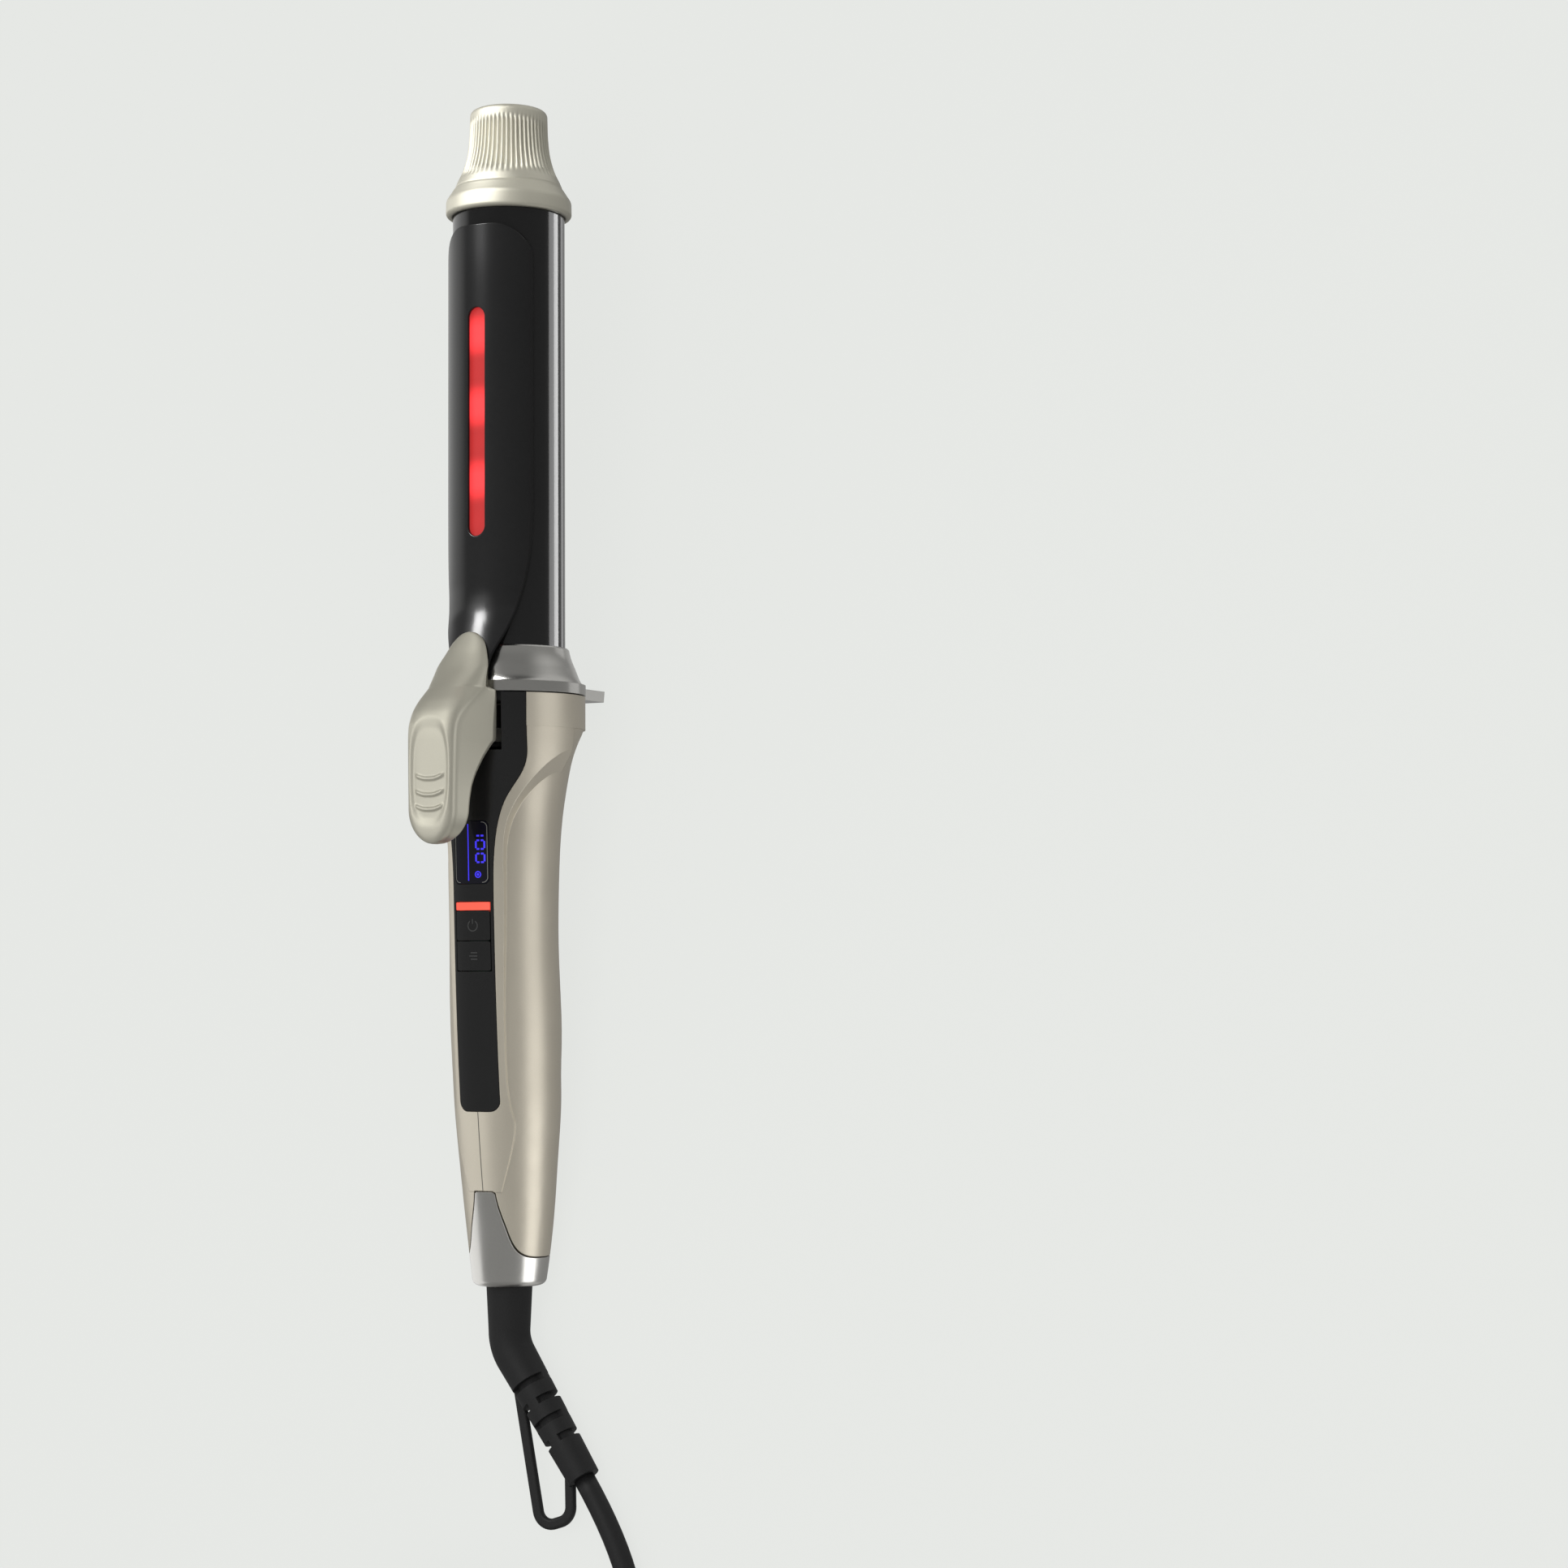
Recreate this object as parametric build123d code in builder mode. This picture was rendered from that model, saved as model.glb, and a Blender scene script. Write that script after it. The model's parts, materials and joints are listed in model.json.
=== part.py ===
"""Curling iron with a spring clamp, a stand tab, a control panel and a swivel cord, in millimetres.

The iron lies on a table (z = 0) on its stand tab and the edge of its end cap, as it rests between uses.
+X runs along the iron from the cord to the tip and +Z is up. The origin is the middle of the tab's foot.
"""

import os
from math import cos, pi, radians, sin, sqrt, tan

from build123d import *

os.makedirs("parts", exist_ok=True)

# Driving dimensions: the iron as a whole
rest_tilt = 8.0  # how far the barrel rises from the table, in degrees
running_gap = 0.3  # between faces that move past each other
fit_gap = 0.15  # between pieces that are fitted together
seat_gap = 0.08  # between faces that rest on each other
pin_play = 0.05  # between the hinge pin and its ears
rest_gap = 0.1  # between the end cap and the table

# Driving dimensions: barrel and cap
barrel_radius = 16.0
barrel_wall = 1.2
barrel_foot = 1.0  # where the tube ends in the collar
insulator_depth = 8.0
insulator_wall = 3.0
insulator_disc = 2.5
cap_base = 137.6  # lower edge of the cap, along the tool from the collar's underside
cap_height = 31.4
cap_socket = 4.0  # how deep the barrel stands in the cap
cap_reach = 2.0  # the cap's flange stands out this far over the barrel
cap_flange_height = 4.6
cap_top_radius = 11.1
cap_edge_radius = 1.6
cap_wall = 2.0
cap_rim = 1.2  # rounding of the flange's lower edge
cap_bell_radius = 14.2  # where the bell meets the flange's slope
cap_bell_foot = 11.8  # height of that place over the lower edge
cap_crown = 3.9  # height of the plain crown over the bell
cap_dome = 0.4  # rise of the top
cap_hollow_rise = 3.0  # the hollow starts to narrow this far over the flange
cap_hollow_neck = 5.0  # and is narrow this far over the bell's foot
cap_rib_count = 54
cap_rib_depth = 0.5
rib_step = 0.05  # how far the ribs lie under the plain surface
rib_overlap = 0.5  # how far they run up into the crown
# how the ribs fade, as shares of their height and of their depth
cap_rib_fade = (
    (0, 0),
    (0.1, 0.2),
    (0.2, 0.6),
    (0.35, 1),
    (0.5, 1),
    (0.65, 1),
    (0.8, 0.9),
    (0.93, 0.4),
    (1, 0),
)

# Driving dimensions: light in the barrel
slot_middle = 76.6
slot_length = 65.0
slot_width = 5.7
window_margin = 0.5  # the window is this much wider all round than the slot in the clamp
window_thickness = 1.7
window_inset = 0.05  # how far it lies under the barrel's face
emitter_count = 3
emitter_pitch = 20.5
emitter_size = 2.8
emitter_height = 1.2
emitter_corner = 0.4
light_board_width = 7.6
light_board_thickness = 1.2
light_board_margin = 1.5
board_corner = 1.0

# Driving dimensions: heater
heater_start = 40.0
heater_length = 78.0
heater_plate_thickness = 2.4
heater_plate_width = 16.0
heater_tail = 6.0
block_depth = 5.1  # from the barrel's face to the blocks' flat top
block_bottom = -10.5
fuse_radius = 1.9
fuse_length = 12.0
fuse_chamfer = 0.5
lead_radius = 0.7
lead_bend = 6.0
lead_setback = 1.5  # from the heater blocks to the leads' ends
lead_turn = -17.0  # where the heater's leads turn up to the board
lead_lift = 2.0  # where the supply leads leave the swivel, over the axis
lead_rise = 14.0  # their straight run from there

# Driving dimensions: holder, collar and stand
holder_reach = 2.5  # the holder's flange stands out this far over the barrel
holder_flange = 2.5
holder_foot = -15.0
holder_body = 12.5
holder_bore = 8.0
holder_flat = 2.0  # how far the hinge's seat is cut into the body
collar_height = 13.4
collar_reach = (1.1, 5.8)  # the collar stands out this far over the barrel, at its top and at its flange
collar_flange_height = 3.0
collar_step = 0.8  # the flange stands out this far over the flare
collar_lip = 0.4
tab_width = 22.0
tab_thickness = 3.2
tab_corner = 2.0
tab_overrun = 8.0  # drawn past the table before it is cut level

# Driving dimensions: clamp
clamp_gap = 0.35
clamp_thickness = 1.0
clamp_end = 132.7
clamp_half_width = 13.9
clamp_corner = 9.0
clamp_straight_foot = 30.0

# Driving dimensions: lever and hinge
pin_rise = 8.5  # from the barrel's face to the pin
pin_station = -7.0
pin_radius = 1.5
pin_half_length = 8.5
pin_chamfer = 0.3
press_gap = 0.02  # round a pin or screw that is pressed in
ear_outer = 9.2
ear_inner = 7.2
ear_front = -0.4
ear_rear = -13.6
ear_reach = 3.6  # how far the ears run past the pin
lug_outer = 6.9
lug_thickness = 1.5
lug_head = 3.2
bracket_thickness = 1.2
bracket_length = 10.6
bracket_middle = -8.4
lever_rise = 25.4  # from the barrel's face to the thumb pad's rim
lever_skin = 2.2
lever_tip = 16.8
lever_end = -43.6
lever_web = (11.0, 1.6)  # height and thickness of the web that the spring pushes on
web_setback = 0.4
pad_middle = -23.0
pad_length = 28.0
pad_half_width = 6.4
pad_depth = 0.9
ridge_stations = (-25.4, -29.8, -33.8)  # raised ridges across the thumb pad
ridge_half_width = 4.6
ridge_bow = 1.2
ridge_width = 0.9
spring_wire = 1.0
spring_mean_radius = 2.7
spring_pitch = 1.6
spring_half_turns = 9
spring_leg = 11.0
spring_short_leg = 7.6
screw_stations = (10.6, 6.4)
screw_radius = 1.0
screw_length = 1.9
screw_head = 0.7
screw_head_radius = 1.9
screw_seat = 0.2  # from the crown of the neck's underside to the screw's head

# Driving dimensions: handle
end_station = -166.6  # underside of the end cap
end_radius = 10.25
end_edge_radius = 2.0
seam_gap = 0.35
handle_wall = 2.4
end_wall = 1.7
end_floor = 3.0
seam_station = end_station + 8.3  # where the end cap meets the shells, at the back
tongue_top = end_station + 26.8
tongue_half_width = 3.3
neck_step = 0.1  # the handle's neck lies this far under the collar's flange
neck_foot = -9.8
spine_half_width = 9.1
well_top = -0.3  # the well in the panel that the lever's ears turn in
well_foot = -16.5
well_half_width = 9.7

# Driving dimensions: control panel
panel_thickness = 1.8
panel_top = -0.4
panel_shoulder = -16.0
panel_foot = -117.2
panel_corner = 3.0
panel_half_width = 6.5
panel_neck_half_width = 15.3
display_length = 17.5
display_width = 11.0
display_middle = -45.0
display_corner = 1.5
display_bottom = 17.4
display_border = 1.0  # the module is this much smaller than its window
bar_top = -58.9
bar_height = 2.2
bar_corner = 0.3
button_length = 8.2
button_width = 11.0
button_gap = 0.25
button_corner = 0.6
key_bottom = 15.4
switch_height = 2.35
post_radius = 1.5
post_setback = (2.4, 4.0)  # from the display's edge and from the keys and the board's end
board_top = 12.4
board_thickness = 1.6
board_width = 10.6
board_start = -34.0
board_end = -112.0
board_room = 1.0  # the shells' opening is this much wider than the board
switch_size = 6.0
switch_button_radius = 1.7
switch_stroke = 0.6
power_part = (9.0, 12.0, 7.0)  # width, length and depth of the block under the board
capacitor_radius = 4.0
capacitor_length = 13.0
capacitor_setback = 12.0

# Driving dimensions: swivel, bush and loop
bore_radius = 6.3
bush_neck_radius = 6.0
bush_head_radius = 7.5
bush_head_thickness = 3.4
housing_disc = 2.4
ring_thickness = 0.8
ring_radii = ((1.8, 3.2), (4.4, 5.8))  # inner and outer
bush_radius = 6.5
bush_sleeve = 12.5
bush_bend_radius = 12.0
bush_swing = 36.5  # sideways turn of the relief on the table, in degrees
bush_dip = 3.0  # how far the relief points down, in degrees
relief_length = 40.0
relief_start_radius = 5.9
relief_end_radius = 4.6
relief_solid = 8.6  # the relief's plain start, where the loop is rooted
relief_slots = 4
relief_pitch = 6.0
relief_slot_width = 2.0
relief_core = 3.7
relief_bridge = 3.2
loop_width = 3.1
loop_thickness = 2.2
loop_corner = 0.9
loop_bend = 4.2
loop_points = ((5.5, 3.0), (44.0, 19.0), (47.0, 9.5), (36.0, 2.6))  # along the relief, away from it

# Driving dimensions: cord and plug
cord_radius = 3.0
coil_pitch = 6.2  # from one turn or layer to the next
coil_inner_radius = 24.5
coil_half_turns = 7  # half turns in the lower layer
coil_lift = 1.0  # the coil lies on its ties
cord_lead = 15.0  # the cord's first straight run, in line with the relief
cord_corner = (-255.0, -43.9, 3.8)
cord_run_in = 24.0  # the straight run into the coil
coil_centre = (-301.0, 2.0)
coil_tail = 27.0
tie_width = 9.0
tie_thickness = 0.7
tie_room = 0.25
tie_corner = 3.0
plug_width = 23.0
plug_height = 20.2
plug_length = 29.0
plug_relief = 22.0
plug_neck_radius = 5.6
plug_grooves = 3
plug_groove_start = 4.0
plug_groove_pitch = 5.0
plug_groove_width = 1.6
plug_skin = 0.5  # rubber round the cord where the relief is thinnest
plug_shoulder = 9.0
plug_corner = 5.0
blade_thickness = 1.5
blade_width = 6.35
blade_length = 17.5
blade_pitch = 12.7
blade_hole_radius = 1.5
blade_hole_setback = 4.5
blade_chamfer = 0.4

# Sizes that follow the barrel and the cap
barrel_inner = barrel_radius - barrel_wall
barrel_end = cap_base + cap_socket
clamp_inner = barrel_radius + clamp_gap
clamp_outer = clamp_inner + clamp_thickness
cap_flange_radius = barrel_radius + cap_reach
collar_top_radius, collar_flange_radius = [barrel_radius + reach for reach in collar_reach]
block_top = barrel_radius - block_depth
holder_radius = barrel_radius + holder_reach
neck_radius = collar_flange_radius - neck_step
pin_height = barrel_radius + pin_rise
lever_top = barrel_radius + lever_rise

# The grip's round sections: the share of the way from neck to end, the radius and the lift toward the clamp
grip_sections = (
    (0.000, 21.2, 0.0),
    (0.015, 20.2, 0.0),
    (0.036, 18.9, 0.1),
    (0.060, 17.9, 0.3),
    (0.085, 17.3, 0.7),
    (0.140, 16.4, 1.6),
    (0.200, 15.9, 2.4),
    (0.280, 15.6, 2.8),
    (0.370, 15.4, 2.7),
    (0.465, 15.6, 2.2),
    (0.525, 15.7, 1.7),
    (0.600, 15.4, 1.3),
    (0.670, 15.1, 0.8),
    (0.730, 14.5, 0.5),
    (0.815, 13.4, 0.1),
    (0.880, 12.5, -0.2),
    (0.960, 11.1, -0.2),
    (1.000, end_radius, 0.0),
)
# The raised spine's sections, in the same terms
spine_sections = (
    (-0.070, neck_radius, 0.0),
    (0.000, neck_radius - 0.1, 0.0),
    (0.065, 20.7, 0.6),
    (0.130, 19.0, 1.8),
    (0.195, 17.4, 2.9),
    (0.235, 16.7, 3.4),
    (0.370, 16.2, 3.2),
    (0.525, 16.2, 2.0),
    (0.670, 15.5, 1.0),
    (0.815, 13.7, 0.2),
    (0.960, 11.2, -0.2),
)


def along_grip(share):
    """The station at a share of the grip, from the neck to the end."""
    return neck_foot + share * (end_station - neck_foot)


# The tool's own frame, laid on the table: x is sideways, y is the clamp's side and z is toward the tip
tilt = radians(rest_tilt)
axis_height = rest_gap + max(
    (radius - lift) * cos(tilt) - along_grip(share) * sin(tilt) for share, radius, lift in grip_sections
)
axis_x = -(axis_height * tan(tilt) + tab_thickness / (2 * cos(tilt)))
tool = Plane(origin=(axis_x, 0, axis_height), x_dir=(0, 1, 0), z_dir=(cos(tilt), 0, sin(tilt)))
tool_axis = Axis(tool.origin, tool.z_dir)
side_view = Plane(origin=tool.origin, x_dir=tool.y_dir, z_dir=tool.x_dir)  # (height, station)
front_view = Plane(origin=tool.origin, x_dir=-tool.x_dir, z_dir=tool.y_dir)  # (width, station)
table = Plane.XY


def above(height):
    """The plane parallel to the front of the tool at a height over its axis."""
    return front_view.offset(height)


def beside(width):
    """The plane parallel to the tool's middle plane, to one side of it."""
    return side_view.offset(width)


# Cap: a bell on a flange, hollow inside, with soft ribs round its waist that fade at both ends
cap_top = cap_base + cap_height
flange_top = cap_base + cap_flange_height
bell_top = cap_top - cap_crown
bell_foot = cap_base + cap_bell_foot
bell_sag = cap_bell_radius - cap_top_radius
bell_arc = ((bell_top - bell_foot) ** 2 + bell_sag**2) / (2 * bell_sag)
rib_foot = (flange_top + bell_foot) / 2
rib_head = bell_top + rib_overlap
hollow_radius = cap_bell_radius - cap_wall / 2


def bell_surface(station):
    """The radius of the cap at a station: a slope over the flange, then an arc up to the crown."""
    if station < bell_foot:
        share = (station - flange_top) / (bell_foot - flange_top)
        return cap_flange_radius + share * (cap_bell_radius - cap_flange_radius)
    below = max(bell_top - station, 0)
    return cap_top_radius + bell_arc - sqrt(bell_arc**2 - below**2)


def fluted_section(share, depth):
    """A ring of ribs at a share of the ribbed height, with valleys of a depth between them."""
    station = rib_foot + share * (rib_head - rib_foot)
    ridge = bell_surface(station) - rib_step
    corners = []
    for k in range(2 * cap_rib_count):
        radius = ridge - depth * (k % 2)
        turn = pi * k / cap_rib_count
        corners.append((radius * cos(turn), radius * sin(turn)))
    with BuildSketch(tool.offset(station)) as section:
        with BuildLine():
            Spline(*corners, periodic=True)
        make_face()
    return section.sketch


with BuildPart() as cool_tip_cap:
    with BuildSketch(side_view):
        with BuildLine():
            rim = Line((0, cap_base), (cap_flange_radius - cap_rim, cap_base))
            edge = TangentArc(rim @ 1, (cap_flange_radius, cap_base + cap_rim), tangent=(1, 0))
            Polyline(
                edge @ 1,
                (cap_flange_radius, flange_top),
                (bell_surface(rib_foot), rib_foot),
                (0, rib_foot),
                rim @ 0,
            )
        make_face()
        with BuildLine():
            crown_top = cap_top - cap_dome
            wall = Line((cap_top_radius, rib_head), (cap_top_radius, crown_top - cap_edge_radius))
            turn = TangentArc(wall @ 1, (cap_top_radius - cap_edge_radius, crown_top), tangent=(0, 1))
            dome = TangentArc((0, cap_top), turn @ 1, tangent=(1, 0))
            Polyline(dome @ 0, (0, rib_head), wall @ 0)
        make_face()
    revolve(axis=tool_axis)
    loft(
        sections=[fluted_section(share, fade * cap_rib_depth) for share, fade in cap_rib_fade],
        ruled=True,
    )
    with BuildSketch(side_view):
        with BuildLine():
            Polyline(
                (0, cap_base),
                (barrel_radius + fit_gap, cap_base),
                (barrel_radius + fit_gap, barrel_end),
                (hollow_radius, barrel_end),
                (hollow_radius, flange_top + cap_hollow_rise),
                (cap_top_radius - cap_wall, bell_foot + cap_hollow_neck),
                (cap_top_radius - cap_wall, cap_top - cap_wall),
                (0, cap_top - cap_wall),
                close=True,
            )
        make_face()
    revolve(axis=tool_axis, mode=Mode.SUBTRACT)
cool_tip_cap.part.label = "cool_tip_cap"
export_step(cool_tip_cap.part, "parts/cool_tip_cap.step")

# Insulator: a plug in the barrel's end whose disc carries the cap
with BuildPart() as tip_insulator:
    with BuildSketch(tool.offset(barrel_end - insulator_depth)):
        Circle(barrel_inner - fit_gap)
        Circle(barrel_inner - insulator_wall, mode=Mode.SUBTRACT)
    extrude(amount=insulator_depth)
    with BuildSketch(tool.offset(barrel_end)):
        Circle(hollow_radius - fit_gap)
    extrude(amount=insulator_disc)
tip_insulator.part.label = "tip_insulator"
export_step(tip_insulator.part, "parts/tip_insulator.step")

# Barrel: a drawn tube with the slot of the light
with BuildPart() as barrel_tube:
    with BuildSketch(tool.offset(barrel_foot)):
        Circle(barrel_radius)
        Circle(barrel_inner, mode=Mode.SUBTRACT)
    extrude(amount=barrel_end - barrel_foot)
    with BuildSketch(above(0)):
        with Locations((0, slot_middle)):
            SlotOverall(slot_length + 2 * window_margin, slot_width + 2 * window_margin, rotation=90)
    extrude(amount=barrel_radius + 1, mode=Mode.SUBTRACT)
barrel_tube.part.label = "barrel_tube"
export_step(barrel_tube.part, "parts/barrel_tube.step")

# Light window: a red guide that fills the slot and follows the barrel's curve
with BuildPart() as light_window:
    with BuildSketch(tool.offset(slot_middle - slot_length)):
        Circle(barrel_radius - window_inset)
        Circle(barrel_radius - window_thickness, mode=Mode.SUBTRACT)
    extrude(amount=2 * slot_length)
    with BuildSketch(above(0)):
        with Locations((0, slot_middle)):
            SlotOverall(
                slot_length + 2 * (window_margin - fit_gap),
                slot_width + 2 * (window_margin - fit_gap),
                rotation=90,
            )
    extrude(amount=barrel_radius + 1, mode=Mode.INTERSECT)
light_window.part.label = "light_window"
export_step(light_window.part, "parts/light_window.step")

# Light board and its emitters, on the flat top of the heater blocks
light_board_bottom = block_top + fit_gap
with BuildPart() as light_board:
    with BuildSketch(above(light_board_bottom)):
        with Locations((0, slot_middle)):
            RectangleRounded(light_board_width, slot_length + 2 * light_board_margin, board_corner)
    extrude(amount=light_board_thickness)
light_board.part.label = "light_board"
export_step(light_board.part, "parts/light_board.step")

with BuildPart() as light_emitters:
    with BuildSketch(above(light_board_bottom + light_board_thickness)):
        with Locations((0, slot_middle)):
            with GridLocations(1, emitter_pitch, 1, emitter_count):
                RectangleRounded(emitter_size, emitter_size, emitter_corner)
    extrude(amount=emitter_height)
light_emitters.part.label = "light_emitters"
export_step(light_emitters.part, "parts/light_emitters.step")

# Heater: a ceramic plate between two half-round blocks that carry its heat to the barrel
with BuildPart() as heater_plate:
    with BuildSketch(tool.offset(heater_start - heater_tail)):
        Rectangle(heater_plate_thickness, heater_plate_width)
    extrude(amount=heater_length + heater_tail)
heater_plate.part.label = "heater_plate"
export_step(heater_plate.part, "parts/heater_plate.step")

for block_name, block_side in (("heater_block_left", -1), ("heater_block_right", 1)):
    block_inner = heater_plate_thickness / 2 + seat_gap
    with BuildPart() as heater_block:
        with BuildSketch(tool.offset(heater_start)):
            Circle(barrel_inner - seat_gap)
            block_middle = block_side * (block_inner + barrel_radius / 2)
            with Locations((block_middle, (block_top + block_bottom) / 2)):
                Rectangle(barrel_radius, block_top - block_bottom, mode=Mode.INTERSECT)
        extrude(amount=heater_length)
    heater_block.part.label = block_name
    export_step(heater_block.part, f"parts/{block_name}.step")

with BuildPart() as thermal_fuse:
    with BuildSketch(tool.offset(slot_middle)):
        with Locations((0, block_bottom - fuse_radius - fit_gap)):
            Circle(fuse_radius)
    extrude(amount=fuse_length)
    chamfer(thermal_fuse.edges().filter_by(GeomType.CIRCLE), fuse_chamfer)
thermal_fuse.part.label = "thermal_fuse"
export_step(thermal_fuse.part, "parts/thermal_fuse.step")


def lead_pair(route, spacing):
    """Two wires side by side along a route of (height, station) points with rounded corners."""
    with BuildPart() as leads:
        for side in (-1, 1):
            with BuildLine(beside(side * spacing / 2)) as path:
                FilletPolyline(*route, radius=lead_bend)
            with BuildSketch(Plane(path.line @ 0, z_dir=path.line % 0)):
                Circle(lead_radius)
            sweep(path=path.line)
    return leads


lead_spacing = heater_plate_thickness + 2 * (lead_radius + seat_gap)
board_middle = board_top - board_thickness / 2
heater_leads = lead_pair(
    [
        (0, heater_start - lead_setback),
        (0, lead_turn),
        (board_middle, board_start + lead_bend),
        (board_middle, board_start + fit_gap),
    ],
    lead_spacing,
)
heater_leads.part.label = "heater_leads"
export_step(heater_leads.part, "parts/heater_leads.step")

# Barrel holder: a heat-proof spigot in the barrel, a flange under the collar and a foot for the hinge
with BuildPart() as barrel_holder:
    with BuildSketch(tool.offset(-holder_flange)):
        Circle(holder_radius)
    extrude(amount=holder_flange)
    with BuildSketch(tool):
        Circle(barrel_inner - fit_gap)
    extrude(amount=collar_height)
    with BuildSketch(tool.offset(holder_foot)):
        Circle(holder_body)
    extrude(amount=-holder_foot)
    with BuildSketch(tool.offset(holder_foot)):
        Circle(holder_bore)
    extrude(amount=collar_height - holder_foot, mode=Mode.SUBTRACT)
    with BuildSketch(above(holder_body - holder_flat)):
        with Locations((0, (holder_foot - holder_flange) / 2)):
            Rectangle(3 * holder_body, -holder_foot - holder_flange)
    extrude(amount=holder_body, mode=Mode.SUBTRACT)
barrel_holder.part.label = "barrel_holder"
export_step(barrel_holder.part, "parts/barrel_holder.step")

# Collar: a trumpet on a flange, drawn out on the underside into the tab that the iron stands on
with BuildPart() as stand_collar:
    with BuildSketch(side_view):
        with BuildLine():
            seat = Line((barrel_radius + fit_gap, 0), (collar_flange_radius, 0))
            band = Line(seat @ 1, (collar_flange_radius, collar_flange_height))
            step = Line(band @ 1, (collar_flange_radius - collar_step, collar_flange_height + 0.1))
            flare = Spline(
                step @ 1,
                (19.0, 7.3),
                (18.0, 9.7),
                (collar_top_radius, collar_height - collar_lip),
                tangents=((-1, 1.1), (-0.2, 1)),
            )
            Polyline(
                flare @ 1,
                (collar_top_radius - collar_lip, collar_height),
                (barrel_radius + fit_gap, collar_height),
                seat @ 0,
            )
        make_face()
    revolve(axis=tool_axis)
    with BuildSketch(tool):
        with Locations((0, -axis_height / 2 - collar_top_radius / 2)):
            Rectangle(tab_width, axis_height + tab_overrun - collar_top_radius)
    extrude(amount=tab_thickness)
    split(bisect_by=table, keep=Keep.TOP)
    with BuildSketch(tool):
        Circle(barrel_radius + fit_gap)
    extrude(amount=collar_height, mode=Mode.SUBTRACT)
    tab_sides = stand_collar.faces().filter_by(Plane.XZ).edges()
    fillet(tab_sides.filter_by(tool_axis).group_by(Axis.Z)[0], tab_corner)
stand_collar.part.label = "stand_collar"
export_step(stand_collar.part, "parts/stand_collar.step")

# Clamp: a curved sheet over the barrel with the light's slot, whose neck ramps up over the collar
clamp_neck = (
    # station, height of the outer face, half width
    (clamp_straight_foot, clamp_outer, clamp_half_width),
    (24.0, clamp_outer + 0.6, 12.4),
    (18.0, clamp_outer + 2.2, 10.3),
    (8.0, clamp_outer + 4.9, 6.5),
    (1.0, clamp_outer + 7.2, 6.2),
)
neck_slope = Vector(clamp_neck[-1][1] - clamp_neck[-2][1], clamp_neck[-1][0] - clamp_neck[-2][0])


def neck_height(station):
    """The height of the clamp neck's outer face under the lever."""
    upper, lower = clamp_neck[-2], clamp_neck[-1]
    return upper[1] + (station - upper[0]) * (lower[1] - upper[1]) / (lower[0] - upper[0])


def sheet_section(station, height, half_width):
    """A piece of the clamp's curved section, its crown at a height over the tool's axis."""
    centre = height - clamp_outer
    outer_side = centre + sqrt(clamp_outer**2 - half_width**2)
    inner_side = centre + sqrt(clamp_inner**2 - half_width**2)
    with BuildSketch(tool.offset(station)) as section:
        with BuildLine():
            crown = ThreePointArc((-half_width, outer_side), (0, height), (half_width, outer_side))
            hollow = ThreePointArc(
                (half_width, inner_side), (0, height - clamp_thickness), (-half_width, inner_side)
            )
            Line(crown @ 1, hollow @ 0)
            Line(hollow @ 1, crown @ 0)
        make_face()
    return section.sketch


def screw_plane(station, lift):
    """The plane square to the neck at a screw, at a lift from the neck's outer face."""
    seat = side_view.from_local_coords(Vector(neck_height(station), station, 0))
    way = side_view.from_local_coords(Vector(-neck_slope.Y, neck_slope.X, 0)) - side_view.origin
    return Plane(seat, x_dir=tool.x_dir, z_dir=way).offset(lift)


with BuildPart() as clamp_plate:
    extrude(
        to_extrude=sheet_section(clamp_straight_foot, clamp_outer, clamp_half_width),
        amount=clamp_end - clamp_straight_foot,
    )
    with BuildSketch(above(0)) as clamp_outline:
        with Locations((0, (clamp_straight_foot + clamp_end) / 2)):
            Rectangle(2 * clamp_half_width, clamp_end - clamp_straight_foot)
        fillet(clamp_outline.vertices().group_by(tool_axis)[-1], clamp_corner)
    extrude(amount=2 * clamp_outer, mode=Mode.INTERSECT)
    loft(sections=[sheet_section(*neck) for neck in clamp_neck])
    with BuildSketch(above(0)):
        with Locations((0, slot_middle)):
            SlotOverall(slot_length, slot_width, rotation=90)
    extrude(amount=2 * clamp_outer, mode=Mode.SUBTRACT)
    with BuildSketch(*[screw_plane(station, -2 * clamp_thickness) for station in screw_stations]):
        Circle(screw_radius + fit_gap)
    extrude(amount=3 * clamp_thickness, mode=Mode.SUBTRACT)
clamp_plate.part.label = "clamp_plate"
export_step(clamp_plate.part, "parts/clamp_plate.step")

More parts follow.
